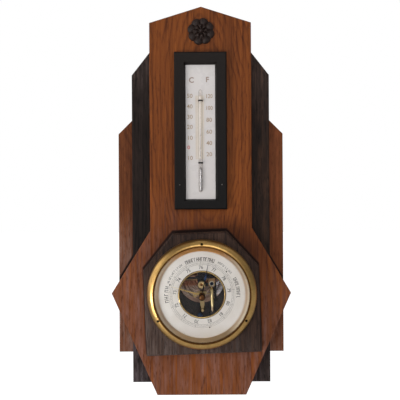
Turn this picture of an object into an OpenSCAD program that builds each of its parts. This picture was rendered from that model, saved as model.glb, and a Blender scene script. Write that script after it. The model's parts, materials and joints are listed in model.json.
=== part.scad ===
// Wall barometer with a thermometer, on three stepped boards.
// The front faces -Y, +Z is up, the wall is the plane y = 0 and the origin is the hanging hole.
// Heights of the boards and of what they carry are counted from the foot of the front board.
// Pieces of the barometer are drawn around the dial's centre, with y as the depth behind the dial.

/* [Boards] */
// Height of the front board, from its foot to its peak
front_h = 450; // [430:1:560]
// Width of the front board's straight part
front_w = 118; // [100:1:135]
// Drop from the peak to the shoulders
shoulder_drop = 18.5; // [10:0.5:30]
// Width across the side points
point_w = 208; // [173:1:250]
// Sideways shift of the peak and of the rosette
peak_x = 1; // [-3:0.1:3]
// Height of the side points
point_h = 118; // [105:1:143]
// Height at which the straight sides start to flare
flare_h = 192; // [165:1:225]
// How much higher the flare starts on the right, and lower on the left
flare_skew = 1.5; // [-3:0.5:3]
// Width of the foot
foot_w = 103; // [85:1:123]
// Thickness of each board
board_t = 9; // [7.5:0.1:12]
// Bevel along the front edges of the boards
edge_bevel = 0.8; // [0.4:0.1:1.5]
// Width of the dark middle board
middle_w = 161; // [150:1:192]
// Height of the middle board's foot
middle_foot = 12.5; // [5:0.5:20]
// Drop from the peak to the middle board's top edge
middle_top_drop = 31.5; // [26:0.5:45]
// Width of the middle board's chamfers
middle_chamfer_w = 36; // [20:1:50]
// Height of the middle board's chamfers
middle_chamfer_h = 46; // [20:1:60]
// Width of the back board
back_w = 195; // [170:1:232]
// Height of the back board's foot
back_foot = 46; // [30:1:50]
// Drop from the peak to the back board's top edge
back_top_drop = 105.5; // [95:0.5:110]
// Chamfer of the back board's shoulders
back_chamfer = 40; // [20:1:48]
// Radius of the hole in the middle and back boards behind the case
access_r = 35; // [29:1:42]

/* [Hanger] */
// Drop from the peak to the hanging hole
hang_drop = 124; // [120:1:140]
// Radius of the hole that passes over the nail's head
hang_r = 5; // [4:0.5:6]
// Width of the slot above the hole
slot_w = 4.4; // [3:0.2:5]
// Height of the slot's end above the hole's centre
slot_up = 8; // [7:0.5:10]
// Thickness of the hanger plate
hanger_t = 1.5; // [1:0.1:2]
// Depth of the pocket behind the plate
pocket_depth = 5.8; // [4.5:0.1:5.9]

/* [Dial block] */
// Thickness of the block
block_t = 20; // [16:0.5:24]
// Anticlockwise turn of the block and the barometer in it, in degrees
block_turn = 2; // [0:0.5:4]
// Width of the block beside the bezel
block_side = 3.3; // [2:0.1:12]
// Height of the block above the bezel
block_above = 7.7; // [5:0.1:16]
// Height of the block below the bezel
block_below = 6.1; // [3:0.1:12]
// Width of the block's top edge
block_top_w = 61; // [40:1:70]
// Height of the chamfered corners
block_chamfer_h = 40; // [25:1:49]
// Bevel along the block's front edges
block_bevel = 2.2; // [1:0.1:3]

/* [Thermometer] */
// Drop from the peak to the middle of the thermometer's frame
thermo_drop = 144.5; // [140:0.5:150]
// Width of the frame
frame_w = 60.5; // [50:0.5:72]
// Length of the frame
frame_l = 181; // [172:1:184]
// Thickness of the frame
frame_t = 8; // [7:0.1:10]
// Bevel along the frame's outer edges
frame_bevel = 1.4; // [0.5:0.1:2]
// Width of the window in the frame
window_w = 34; // [28:1:40]
// Length of the window
window_l = 155; // [148:1:160]
// Drop from the frame's middle to the window's middle
window_drop = 1.2; // [0:0.1:3]
// Width of the window's bevelled edge
window_bevel = 2; // [1:0.1:3]
// Thickness of the glass scale plate
scale_t = 3; // [2:0.1:3.5]
// How far the frame laps over the scale plate
scale_lap = 2; // [1:0.5:4]
// Radius of the thermometer's tube
tube_r = 2.2; // [1.8:0.1:2.6]
// Length of the tube with its bulb
tube_l = 118; // [98:1:130]
// Height of the tube's lower end above the window's lower edge
tube_foot = 8; // [5:0.5:12]
// Length of the bulb
bulb_l = 30; // [24:1:36]
// Length of the mercury thread above the bulb
thread_l = 44; // [30:1:60]

/* [Rosette] */
// Radius of the rosette
rosette_r = 15.8; // [12:0.1:18]
// Height of the rosette's middle
rosette_t = 7; // [5:0.1:9]
// Drop from the peak to the rosette's centre
rosette_drop = 29; // [28:0.2:32]
// Petals in the outer ring
outer_petals = 8; // [6:1:10]
// Petals in the inner ring
inner_petals = 5; // [4:1:8]

/* [Case and bezel] */
// Height of the dial's centre above the foot of the front board
dial_h = 120.1; // [100:0.1:140]
// Sideways shift of the dial's centre
dial_x = 0.6; // [-2:0.1:2]
// Outer radius of the case
case_r = 52.5; // [51.5:0.5:63]
// Wall of the case
case_wall = 0.8; // [0.6:0.1:1.2]
// Depth of the case behind the block's face
case_depth = 27; // [26:0.5:28]
// Width of the case's flange
flange_w = 6; // [5:0.5:7]
// Height of the dial above the block's face
dial_rise = 4; // [3:0.1:4.5]
// Height of the bezel above the block's face
bezel_rise = 11.5; // [11:0.1:13]
// Thickness of the glass
glass_t = 2; // [1.5:0.1:2.5]
// Inner radius of the sight ring at the dial
sight_r = 48.6; // [42:0.1:49]

/* [Dial] */
// Thickness of the dial
dial_t = 0.6; // [0.4:0.1:1]
// Radius of the opening in the dial
opening_r = 26; // [24:0.1:30]
// Radius on which the dial's pillars stand
pillar_at = 37.6; // [37:0.1:42]

/* [Movement] */
// Radius of the base plate
plate_r = 50; // [48:0.5:51]
// Radius of the aneroid capsule
capsule_r = 26.5; // [22:0.5:27.5]
// Height of the capsule's centre above the dial's centre
capsule_up = 14; // [12:0.5:16]
// Distance of the rocking shaft from the dial's centre
rocker_x = 11.4; // [10:0.1:13]
// Radius of the rocking shaft
rocker_r = 1.8; // [1.5:0.1:2.2]
// Length of the crank that pulls the chain
chain_crank = 7.5; // [6.6:0.1:8]
// Length of the crank that the link moves
link_crank = 3.9; // [3.5:0.1:4.4]
// Radius of the chain drum
drum_r = 1; // [0.9:0.05:1.1]
// Radius of the arbor
arbor_r = 0.7; // [0.5:0.05:0.8]
// Turns of the hairspring
spring_turns = 3; // [2:0.5:3.5]

/* [Hands] */
// Length of the pointer from its centre
pointer_l = 36.5; // [30:0.5:44]
// Clockwise angle of the pointer from the dial's top
pointer_angle = 13.6; // [-150:0.1:150]
// Length of the set hand
set_hand_l = 38; // [30:0.5:44]
// Anticlockwise angle of the set hand from the dial's top
set_hand_angle = 72.5; // [0:0.1:360]
// Radius of the set hand's knob
knob_r = 3.6; // [3:0.1:5]
// Height of the knob above the glass
knob_h = 16; // [8:0.5:18]

/* [Hidden] */
$fn = 96;
fit_gap = 0.05;
slip_gap = 0.3;
eps = 0.02;

// Heights above the hanging hole, and depths of the stacked layers from the wall
hang_h = front_h - hang_drop;
back_y = -board_t;
middle_y = -2 * board_t;
front_y = -3 * board_t;
block_y = front_y - block_t;
dial_y = block_y - dial_rise;
thermo_y = front_y - frame_t;
thermo_h = front_h - thermo_drop;
window_h = thermo_h - window_drop;

// Radii and depths around the dial
case_gap = 0.5;
case_in = case_r - case_wall;
flange_r = case_r + flange_w;
flange_t = 1;
face_y = dial_rise;
flange_y = face_y - flange_t;
case_front = -1.6;
bezel_wall = 1.4;
bezel_r = flange_r + 1.9 + bezel_wall;
bezel_top = face_y - bezel_rise;
skirt_r = case_r + 1.5;
glass_r = case_r + 2.1;
lip_t = 0.6;
lip_r = glass_r - 1.3;
glass_y = bezel_top + lip_t + fit_gap;
glass_back = glass_y + glass_t;
sight_t = 0.6;
sight_top_r = case_r + 0.6;
case_back = case_depth + face_y;
dial_r = case_in - 1.2;
opening_rim_w = 1.1;
rim_t = 1;
bezel_screw_r = case_r + 4.1;
flange_screw_r = case_r + 3;
screw_turn = 120;

// Depths of the movement, front to back
cock_y = 4;
cock_t = 1.2;
spring_y = 7.3;
rocker_y = 6.5;
bridge_y = 7;
leaf_y = 11.1;
leaf_t = 0.8;
lever_t = 1;
lever_y = leaf_y - lever_t - fit_gap;
chain_y = rocker_y + chain_crank;
rear_cock_y = chain_y + 2.8;
capsule_y = 19.3;
plate_y = 25.5;
plate_t = 1.5;

// Places in the movement, seen from the front
bar_low = capsule_up + 2.9;
bar_h = 3.7;
bar_x = capsule_r + 1.3;
leg_w = 3.2;
bridge_foot = 5;
foot_x = bar_x + leg_w + bridge_foot;
boss_up = capsule_up - 4.2;
boss_r = 4.3;
lever_x = rocker_x + link_crank;
lever_low = -7;
chain_z = -drum_r - 0.15;
cock_low = -18.4;
post_z = -23;
post_r = 2.3;
pivot_r = 0.5;
rocker_low = -19.2;
rocker_high = 6.6;
lug_low = rocker_high + 1.7;
base_screws = [[-3.4, -28], [38, 26], [-38, 26]];
clamp_x = 5.2;
stud_at = [-4.75, 2];
stud_r = 0.6;
spring_w = 0.3;
spring_h = 0.8;

function along(radius, clockwise) = [radius * sin(clockwise), radius * cos(clockwise)];

// Moves pieces drawn above the foot of the front board
module on_foot() {
    translate([0, 0, -hang_h]) children();
}

// Moves pieces drawn around the dial's centre
module in_dial() {
    on_foot() translate([dial_x, dial_y, dial_h]) rotate([0, -block_turn, 0]) children();
}

// Puts a piece at a point [x, z] of the dial, at a depth
module at(point, depth = 0) {
    translate([point.x, depth, point.y]) children();
}

// An upright plate with the outline of its children, from depth y over a thickness
module upright(y, thickness) {
    translate([0, y + thickness, 0]) rotate([90, 0, 0]) linear_extrude(thickness) children();
}

// The same with bevelled front edges, for an outline without hollows
module bevelled(y, thickness, bevel) {
    hull() {
        upright(y + bevel, thickness - bevel) children();
        upright(y, eps) offset(delta = -bevel) children();
    }
}

// A turned piece about the Y axis, from [radius, depth] points
module turned(points) {
    rotate([-90, 0, 0]) rotate_extrude() polygon(points);
}

// A rod along Y between two depths
module rod(radius, from, to) {
    translate([0, from, 0]) rotate([-90, 0, 0]) cylinder(h = to - from, r = radius);
}

// A rod along Z between two heights
module upright_rod(radius, from, to) {
    translate([0, 0, from]) cylinder(h = to - from, r = radius);
}

// A slotted screw along Y with a low domed head in front of y = 0
module pan_screw(head_r, head_h, shank_r, shank_l) {
    difference() {
        turned([
            [0, -head_h], [0.7 * head_r, -head_h], [head_r, -0.4 * head_h], [head_r, 0],
            [shank_r, 0], [shank_r, shank_l], [0, shank_l]
        ]);
        translate([-head_r - 1, -head_h - 1, -0.13 * head_r])
            cube([2 * head_r + 2, 1.5 * head_h, 0.26 * head_r]);
    }
}

// A slotted screw along Y whose flat head starts at y = 0
module flat_screw(head_r, head_h, shank_r, length) {
    difference() {
        turned([[0, 0], [head_r, 0], [shank_r, head_h], [shank_r, length], [0, length]]);
        translate([-head_r - 1, -1, -0.12 * head_r])
            cube([2 * head_r + 2, 1 + 0.4 * head_h, 0.24 * head_r]);
    }
}

// The hole for a flat screw
module flat_screw_hole(head_r, head_h, shank_r, length) {
    turned([
        [0, -1], [head_r + fit_gap, -1], [head_r + fit_gap, 0], [shank_r + fit_gap, head_h],
        [shank_r + fit_gap, length + 0.2], [0, length + 0.2]
    ]);
}

// The boards

board_screw = [4, 3, 2, 3 * board_t - 3];
board_screw_places = [for (side = [-1, 1]) each [
    [side * 42, hang_h - 6], [side * 42, flare_h + 9], [side * 34, back_foot + 10]
]];

// Puts its children at each screw that joins the boards, pointing into the wood from behind
module at_board_screws() {
    for (place = board_screw_places) at(place) mirror([0, 1, 0]) children();
}

module board_screw_holes() {
    at_board_screws() flat_screw_hole(board_screw[0], board_screw[1], board_screw[2], board_screw[3]);
}

// The round hole behind the case, for a screwdriver
module access_hole() {
    on_foot() at([dial_x, dial_h]) rod(access_r, middle_y - 1, 1);
}

module back_board() {
    top = front_h - back_top_drop;
    half = back_w / 2;
    color("#7d4a30") difference() {
        on_foot() bevelled(back_y, board_t, edge_bevel) polygon([
            [-half, back_foot], [half, back_foot], [half, top - back_chamfer],
            [half - back_chamfer, top], [back_chamfer - half, top], [-half, top - back_chamfer]
        ]);
        access_hole();
        on_foot() board_screw_holes();
        upright(-hanger_t, hanger_t + 1) hanger_outline(fit_gap);
        upright(-hanger_t - pocket_depth, hanger_t + pocket_depth) pocket_outline();
        at_hanger_screws() rod(1.45, -hanger_t - 6.2, 0);
    }
}

module middle_board() {
    top = front_h - middle_top_drop;
    half = middle_w / 2;
    color("#2b2220") difference() {
        on_foot() bevelled(middle_y, board_t, edge_bevel) polygon([
            [-half, middle_foot], [half, middle_foot], [half, top - middle_chamfer_h],
            [half - middle_chamfer_w, top], [middle_chamfer_w - half, top],
            [-half, top - middle_chamfer_h]
        ]);
        access_hole();
        on_foot() board_screw_holes();
    }
}

module front_board() {
    overlap = 25;
    color("#8a5233") difference() {
        on_foot() {
            bevelled(front_y, board_t, edge_bevel) polygon([
                [-front_w / 2, flare_h - overlap], [front_w / 2, flare_h - overlap],
                [front_w / 2, front_h - shoulder_drop], [peak_x, front_h],
                [-front_w / 2, front_h - shoulder_drop]
            ]);
            bevelled(front_y, board_t, edge_bevel) polygon([
                [-foot_w / 2, 0], [foot_w / 2, 0], [point_w / 2, point_h],
                [front_w / 2, flare_h + flare_skew], [-front_w / 2, flare_h - flare_skew],
                [-point_w / 2, point_h]
            ]);
        }
        in_dial() rod(case_r + case_gap, face_y, middle_y - dial_y + 1);
        on_foot() board_screw_holes();
    }
}

module board_screws() {
    color("#8c8577") on_foot() at_board_screws()
        flat_screw(board_screw[0], board_screw[1], board_screw[2], board_screw[3]);
}

// The hanger

hanger_screw_x = 14;

module hanger_outline(gap = 0) {
    for (side = [-1, 1]) translate([side * hanger_screw_x, 0]) circle(r = 5 + gap);
    translate([-hanger_screw_x, -5 - gap]) square([2 * hanger_screw_x, 10 + 2 * gap]);
    translate([-7.5 - gap, -8.5 - gap]) square([15 + 2 * gap, slot_up + 13.5 + 2 * gap]);
}

module pocket_outline() {
    translate([-6.5, -7]) square([13, slot_up + 10.5]);
}

module at_hanger_screws() {
    for (side = [-1, 1]) at([side * hanger_screw_x, 0]) children();
}

module hanger_plate() {
    color("#a8925c") difference() {
        upright(-hanger_t, hanger_t) difference() {
            hanger_outline();
            circle(r = hang_r);
            translate([-slot_w / 2, 0]) square([slot_w, slot_up]);
            translate([0, slot_up]) circle(r = slot_w / 2);
        }
        at_hanger_screws() mirror([0, 1, 0]) flat_screw_hole(2.6, 1.2, 1.35, 3);
    }
}

module hanger_screws() {
    color("#8c8577") at_hanger_screws() mirror([0, 1, 0]) flat_screw(2.6, 1.2, 1.35, 7.5);
}

// The dial block

block_half = bezel_r + block_side;
block_top = bezel_r + block_above;
block_foot = -bezel_r - block_below;

module dial_block() {
    color("#3d302b") in_dial() difference() {
        bevelled(face_y, block_t, block_bevel) polygon([
            [-block_half, block_foot], [block_half, block_foot],
            [block_half, block_top - block_chamfer_h],
            [block_top_w / 2, block_top], [-block_top_w / 2, block_top],
            [-block_half, block_top - block_chamfer_h]
        ]);
        rod(case_r + case_gap, face_y - 1, face_y + block_t + 1);
        at_flange_screws() rod(1.05, face_y - 1, face_y + 9);
        at_bezel_screws() rod(0.9 + fit_gap, face_y - 1, face_y + 5);
    }
}

// The rosette: petals as a height over a disc with a lobed edge

function lobes(count, angle) = abs(cos(count * angle / 2));

function rosette_edge(angle) = rosette_r * (0.86 + 0.14 * lobes(outer_petals, angle));

function bump(u, middle, width) = sqrt(max(0, 1 - pow((u - middle) / width, 2)));

function rosette_height(u, angle) = rosette_t * max(
    0.12,
    0.55 * bump(u, 0.74, 0.27) * (0.45 + 0.55 * lobes(outer_petals, angle)),
    0.85 * bump(u, 0.42, 0.2) * (0.55 + 0.45 * lobes(inner_petals, angle + 18)),
    bump(u, 0, 0.2)
);

module rosette() {
    rings = 11;
    sides = 64;
    angles = [for (side = [0 : sides - 1]) side * 360 / sides];
    front = [for (ring = [1 : rings]) for (angle = angles)
        let (u = ring / rings, radius = u * rosette_edge(angle))
        [radius * sin(angle), -rosette_height(u, angle), radius * cos(angle)]
    ];
    back = [for (angle = angles) [rosette_edge(angle) * sin(angle), 0, rosette_edge(angle) * cos(angle)]];
    points = concat(front, back, [[0, -rosette_t, 0], [0, 0, 0]]);
    tip = len(points) - 2;
    base = tip + 1;
    walls = [for (ring = [0 : rings - 1]) for (side = [0 : sides - 1])
        let (next = (side + 1) % sides, a = ring * sides + side, b = ring * sides + next)
        each [[a, b, b + sides], [a, b + sides, a + sides]]
    ];
    caps = [for (side = [0 : sides - 1]) let (next = (side + 1) % sides)
        each [[tip, next, side], [base, rings * sides + side, rings * sides + next]]
    ];
    color("#332420") on_foot() translate([peak_x, front_y, front_h - rosette_drop])
        polyhedron(points, [for (face = concat(walls, caps)) [face[2], face[1], face[0]]]);
}

// The thermometer

pin_place = [frame_w / 2 - 6, thermo_h - 62];
pin_r = 0.7;
pin_length = 14;
tube_y = front_y - scale_t - tube_r - fit_gap;
tube_low = window_h - window_l / 2 + tube_foot;
bore_r = 0.35;
bulb_in = tube_r - 0.5;

module thermometer_frame() {
    color("#26211f") on_foot() difference() {
        bevelled(thermo_y, frame_t, frame_bevel) translate([-frame_w / 2, thermo_h - frame_l / 2])
            square([frame_w, frame_l]);
        upright(thermo_y - 1, frame_t + 2) window(0);
        upright(front_y - scale_t - fit_gap, scale_t + 1) window(scale_lap + 0.2);
        hull() {
            upright(thermo_y - 0.5, 0.5) window(window_bevel);
            upright(thermo_y + 2 * window_bevel, eps) window(0);
        }
        for (side = [-1, 1]) at([side * pin_place.x, pin_place.y])
            rod(pin_r + fit_gap, thermo_y - 1, front_y + 1);
    }
}

// The window's outline, grown by a margin
module window(margin) {
    translate([-window_w / 2 - margin, window_h - window_l / 2 - margin])
        square([window_w + 2 * margin, window_l + 2 * margin]);
}

module frame_pins() {
    color("#8f8a80") on_foot() for (side = [-1, 1]) at([side * pin_place.x, pin_place.y], thermo_y - 0.05)
        rod(pin_r, 0, frame_t);
}

module scale_plate() {
    color("#ece8e2") on_foot() upright(front_y - scale_t, scale_t) window(scale_lap);
}

// The glass around the mercury: a round rod with the bulb and the bore inside it
module thermometer_tube() {
    color("#dfe8ea", 0.5) on_foot() translate([0, tube_y, tube_low]) difference() {
        union() {
            upright_rod(tube_r, tube_r, tube_l - tube_r);
            for (end = [tube_r, tube_l - tube_r]) translate([0, 0, end]) sphere(r = tube_r);
        }
        mercury_form(eps);
        upright_rod(bore_r + eps, bulb_l, tube_l - 2 * tube_r);
    }
}

module mercury_form(gap) {
    rotate_extrude() polygon([
        [0, 1.2 - gap], [bulb_in - 0.8, 1.2 - gap], [bulb_in + gap, 2.4], [bulb_in + gap, bulb_l - 4],
        [bore_r + gap, bulb_l - 1], [bore_r + gap, bulb_l + thread_l + gap], [0, bulb_l + thread_l + gap]
    ]);
}

module mercury() {
    color("#b9bcc0") on_foot() translate([0, tube_y, tube_low]) mercury_form(0);
}

module tube_clips() {
    clip_w = 1.6;
    clip_t = 0.45;
    outer = tube_r + clip_t;
    clip_up = [bulb_l + 3, tube_l - 13.5];
    color("#1c1a19") on_foot() for (up = clip_up) translate([0, tube_y, tube_low + up]) {
        difference() {
            cylinder(h = clip_w, r = outer);
            translate([0, 0, -1]) cylinder(h = clip_w + 2, r = tube_r + eps);
            translate([-outer - 1, 0, -1]) cube([2 * outer + 2, outer + 1, clip_w + 2]);
        }
        for (side = [-1, 1]) translate([side * (tube_r + clip_t / 2 + eps) - clip_t / 2, 0, 0])
            cube([clip_t, front_y - scale_t - tube_y, clip_w]);
    }
}

// The case, the bezel and the glass

// Three places on a circle around the dial's centre, the first above it in an upright barometer
module at_ring(radius, first) {
    for (turn = [0 : screw_turn : 359]) at(along(radius, first + block_turn + turn)) children();
}

module at_bezel_screws() {
    at_ring(bezel_screw_r, 0) children();
}

module at_flange_screws() {
    at_ring(flange_screw_r, screw_turn / 2) children();
}

module case() {
    color("#b08d4a") in_dial() difference() {
        turned([
            [0, case_back], [case_r, case_back], [case_r, face_y], [flange_r, face_y],
            [flange_r, flange_y], [case_r, flange_y], [case_r, case_front], [case_in, case_front],
            [case_in, case_back - case_wall], [0, case_back - case_wall]
        ]);
        at([0, capsule_up]) rod(3, case_back - 3, case_back + 1);
        at_flange_screws() translate([0, flange_y, 0]) flat_screw_hole(2, 0.9, 1, 4);
        at_bezel_screws() rod(0.9 + fit_gap, flange_y - 1, face_y + 1);
    }
}

module case_screws() {
    color("#b08d4a") in_dial() at_flange_screws() translate([0, flange_y, 0])
        flat_screw(2, 0.9, 1, 9);
}

bezel_foot = 1.2;
bezel_land = 0.5;
bezel_screw_sunk = 1.8;

module bezel() {
    round_w = bezel_r - lip_r - bezel_land;
    round_h = bezel_rise - bezel_foot;
    crown = [for (angle = [0 : 9 : 90])
        [bezel_r - round_w + round_w * cos(angle), face_y - bezel_foot - round_h * sin(angle)]
    ];
    color("#c9a24e") in_dial() difference() {
        turned(concat(
            [[bezel_r, face_y]],
            crown,
            [
                [lip_r, bezel_top], [lip_r, bezel_top + lip_t], [glass_r + 0.1, bezel_top + lip_t],
                [glass_r + 0.1, glass_back + sight_t + 0.1], [skirt_r, glass_back + sight_t + 0.1],
                [skirt_r, flange_y - 0.4], [bezel_r - bezel_wall, flange_y - 0.4],
                [bezel_r - bezel_wall, face_y]
            ]
        ));
        at_bezel_screws() {
            rod(0.9 + fit_gap, bezel_top - 1, face_y);
            rod(1.5 + fit_gap, bezel_top - 1, bezel_top + bezel_screw_sunk);
        }
    }
}

module bezel_screws() {
    color("#4a3b22") in_dial() at_bezel_screws() translate([0, bezel_top + bezel_screw_sunk, 0])
        pan_screw(1.5, 1.1, 0.9, bezel_rise + 4.6 - bezel_screw_sunk);
}

module dial_glass() {
    color("#dfeaea", 0.3) in_dial() turned([
        [spindle_r + fit_gap, glass_y], [glass_r - 0.4, glass_y], [glass_r, glass_y + 0.4],
        [glass_r, glass_back], [spindle_r + fit_gap, glass_back]
    ]);
}

module sight_ring() {
    foot = -fit_gap;
    top = glass_back + fit_gap;
    color("#c4a25a") in_dial() turned([
        [sight_top_r, top], [glass_r, top], [glass_r, top + sight_t],
        [sight_top_r + sight_t, top + sight_t], [sight_r + sight_t, foot], [sight_r, foot]
    ]);
}

// The dial

module dial() {
    color("#e9e4da") in_dial() difference() {
        rod(dial_r, 0, dial_t);
        rod(opening_r, -1, dial_t + 1);
        at_pillars() rod(0.6, -1, dial_t + 1);
    }
}

module opening_rim() {
    middle = opening_r - opening_rim_w / 2 + 0.4;
    bead = [for (angle = [0 : 20 : 180])
        [middle + opening_rim_w * cos(angle), -fit_gap - rim_t * sin(angle)]
    ];
    color("#c9a24e") in_dial() turned(concat(bead, [
        [middle - opening_rim_w, 2], [opening_r - fit_gap, 2], [opening_r - fit_gap, -fit_gap]
    ]));
}

module at_pillars() {
    for (clockwise = [49, 169, 289]) at(along(pillar_at, clockwise)) children();
}

module dial_pillars() {
    color("#b08d4a") in_dial() at_pillars() difference() {
        rod(1.6, dial_t + fit_gap, plate_y);
        rod(0.55, 0, 5);
    }
}

module dial_pins() {
    color("#7a5a34") in_dial() at_pillars() turned([
        [0, -0.45], [0.5, -0.4], [0.8, -0.05], [0.5, -0.05], [0.5, 4], [0, 4]
    ]);
}

// The base plate and the capsule

module base_plate() {
    color("#232226") in_dial() difference() {
        rod(plate_r, plate_y, plate_y + plate_t);
        at([0, capsule_up]) rod(adjuster_r + fit_gap, plate_y - 1, plate_y + plate_t + 1);
        for (place = base_screws) at(place) rod(1.3, plate_y - 1, plate_y + plate_t + 1);
        at_bridge_screws() rod(1.3, plate_y - 1, plate_y + plate_t + 1);
    }
}

module base_spacers() {
    color("#b08d4a") in_dial() for (place = base_screws) at(place) difference() {
        rod(3, plate_y + plate_t, case_back - case_wall);
        rod(1.3, plate_y, case_back);
    }
}

module base_screws() {
    color("#27406a") in_dial() for (place = base_screws) at(place, plate_y)
        pan_screw(3.2, 1.6, 1.25, case_back - case_wall - plate_y);
}

wave = 4;
wave_depth = 0.45;
skin_t = 0.35;
capsule_flat = 4;
capsule_waves_end = capsule_r - 3.5;
capsule_mid = capsule_y + 3;

// Depth of the front diaphragm's outer face at a radius
function skin_depth(radius) =
    radius < capsule_flat ? capsule_y
    : radius < capsule_waves_end ? capsule_y + wave_depth * (1 - cos(360 * (radius - capsule_flat) / wave))
    : capsule_mid - skin_t;

// One half of the capsule: a thin corrugated disc with a flat rim
module diaphragm() {
    radii = concat([0], [for (radius = [capsule_flat : 0.5 : capsule_waves_end]) radius],
        [capsule_r - 2, capsule_r]);
    outer = [for (radius = radii) [radius, skin_depth(radius)]];
    inner = [for (i = [len(radii) - 1 : -1 : 0]) [radii[i], skin_depth(radii[i]) + skin_t]];
    turned(concat(outer, inner));
}

module front_diaphragm() {
    color("#7a5a45") in_dial() at([0, capsule_up]) diaphragm();
}

module rear_diaphragm() {
    color("#7a5a45") in_dial() at([0, capsule_up], 2 * capsule_mid) mirror([0, 1, 0]) diaphragm();
}

adjuster_r = 2.5;

module adjusting_screw() {
    front = 2 * capsule_mid - capsule_y + fit_gap;
    back = case_back - 0.1;
    color("#b9a36a") in_dial() at([0, capsule_up]) difference() {
        rod(adjuster_r, front, back);
        translate([-adjuster_r - 1, back - 1.2, -0.4]) cube([2 * adjuster_r + 2, 2, 0.8]);
    }
}

module capsule_post() {
    tip = leaf_y + leaf_t + 0.4;
    post_w = 1.5;
    color("#b08d4a") in_dial() at([0, capsule_up]) turned([
        [0, tip], [0.4, tip], [post_w, tip + 1.4], [post_w, capsule_y - fit_gap], [0, capsule_y - fit_gap]
    ]);
}

// The bridge, the mainspring and the main lever

module at_bridge_screws() {
    for (side = [-1, 1]) at([side * (foot_x - bridge_foot / 2), bar_low + bar_h / 2]) children();
}

// An arch that stands on the base plate, seen from above, and pulled up along Z
module bridge() {
    arch = [
        [-foot_x, plate_y], [-foot_x, plate_y - 1.5], [-bar_x - leg_w, plate_y - 1.5],
        [-bar_x - leg_w, bridge_y + 3], [-bar_x, bridge_y], [bar_x, bridge_y],
        [bar_x + leg_w, bridge_y + 3], [bar_x + leg_w, plate_y - 1.5],
        [foot_x, plate_y - 1.5], [foot_x, plate_y], [bar_x, plate_y], [bar_x, leaf_y + 2],
        [bar_x - 2, leaf_y], [2 - bar_x, leaf_y], [-bar_x, leaf_y + 2], [-bar_x, plate_y]
    ];
    color("#1d1b1c") in_dial() difference() {
        union() {
            translate([0, 0, bar_low]) linear_extrude(bar_h) polygon(arch);
            translate([-4.7, bridge_y + 1, bar_low]) cube([9.4, leaf_y - bridge_y - 1, bar_h + 4]);
        }
        at_clamp_screws() rod(1.3, bridge_y - 1, leaf_y + 1);
        at_bridge_screws() rod(1.3, plate_y - 3, plate_y + 1);
    }
}

module bridge_screws() {
    color("#3a3836") in_dial() at_bridge_screws() translate([0, plate_y - 1.5, 0])
        pan_screw(2.2, 1.2, 1.25, 3.2);
}

module at_clamp_screws() {
    for (side = [-1, 1]) at([side * clamp_x, bar_low + bar_h / 2]) children();
}

module spring_clamp() {
    half = 18.5;
    notch = 4.3;
    low = bar_low - 2.1;
    high = bar_low + bar_h;
    color("#a5835c") in_dial() difference() {
        upright(leaf_y + leaf_t, 1.2) polygon([
            [-half, low], [-notch, low], [-notch, bar_low], [notch, bar_low], [notch, low], [half, low],
            [half, high], [-half, high]
        ]);
        at_clamp_screws() rod(1.3, leaf_y, leaf_y + 4);
    }
}

module clamp_screws() {
    color("#27406a") in_dial() at_clamp_screws() translate([0, bridge_y, 0])
        pan_screw(1.9, 1.1, 1.25, leaf_y + leaf_t + 1.2 - bridge_y);
}

module mainspring() {
    leaf_w = 9.4;
    color("#1f1d1e") in_dial() difference() {
        upright(leaf_y, leaf_t) {
            translate([0, boss_up]) circle(r = leaf_w / 2);
            translate([-leaf_w / 2, boss_up]) square([leaf_w, bar_low + bar_h - boss_up]);
            translate([-8, bar_low + 0.4]) square([16, bar_h - 0.4]);
        }
        at_clamp_screws() rod(1.3, leaf_y - 1, leaf_y + 2);
        at([0, boss_up]) rod(1.5, leaf_y - 1, leaf_y + 2);
    }
}

arm_w = 4.2;

module main_lever() {
    tip_w = 2.4;
    color("#2d2b2c") in_dial() difference() {
        upright(lever_y, lever_t) {
            translate([0, boss_up]) circle(r = boss_r + 0.3);
            translate([0, boss_up - arm_w / 2]) square([lever_x + tip_w / 2, arm_w]);
            translate([lever_x - tip_w / 2, lever_low]) square([tip_w, boss_up - lever_low]);
            translate([lever_x, lever_low]) circle(r = 1.7);
        }
        at([0, boss_up]) rod(1.5, lever_y - 1, lever_y + 2);
        at([lever_x, lever_low]) rod(0.42, lever_y - 1, lever_y + 2);
    }
}

// A flanged rivet that holds the lever on the leaf, sunk in the middle
module lever_boss() {
    front = bridge_y;
    color("#c2a057") in_dial() at([0, boss_up]) turned([
        [0, front + 1.6], [1.3, front + 1.4], [1.9, front + 0.3], [2.6, front], [boss_r - 0.6, front],
        [boss_r, front + 0.8], [boss_r, lever_y - fit_gap], [1.45, lever_y - fit_gap],
        [1.45, leaf_y + leaf_t], [0, leaf_y + leaf_t]
    ]);
}

module link() {
    front = rocker_y - 2;
    back = lever_y + lever_t + 0.3;
    color("#9a9a9c") in_dial() at([lever_x, lever_low]) turned([
        [0, front], [0.9, front], [0.9, front + 0.4], [0.4, front + 0.4], [0.4, back], [0, back]
    ]);
}

// The rocking shaft with its two cranks, and what holds its pivots

crank_t = 1;

module rocking_shaft() {
    eye_r = 1.35;
    color("#c9ab62") in_dial() difference() {
        union() {
            translate([rocker_x, rocker_y, 0]) {
                upright_rod(rocker_r, rocker_low, rocker_high);
                upright_rod(rocker_r + 0.45, 3, 6.3);
                upright_rod(pivot_r, rocker_low - 2.7, rocker_high + 3);
                translate([-0.7, 0, chain_z - crank_t / 2]) cube([1.4, chain_crank + 0.7, crank_t]);
                translate([0, -crank_t / 2, lever_low - 1.2]) cube([link_crank, crank_t, 2.4]);
            }
            at([lever_x, lever_low], rocker_y) rod(eye_r + 0.7, -crank_t / 2, crank_t / 2);
        }
        at([lever_x, lever_low], rocker_y) rod(eye_r, -crank_t, crank_t);
        translate([rocker_x, chain_y, chain_z]) upright_rod(hook_r + fit_gap, -2, 2);
    }
}

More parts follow.
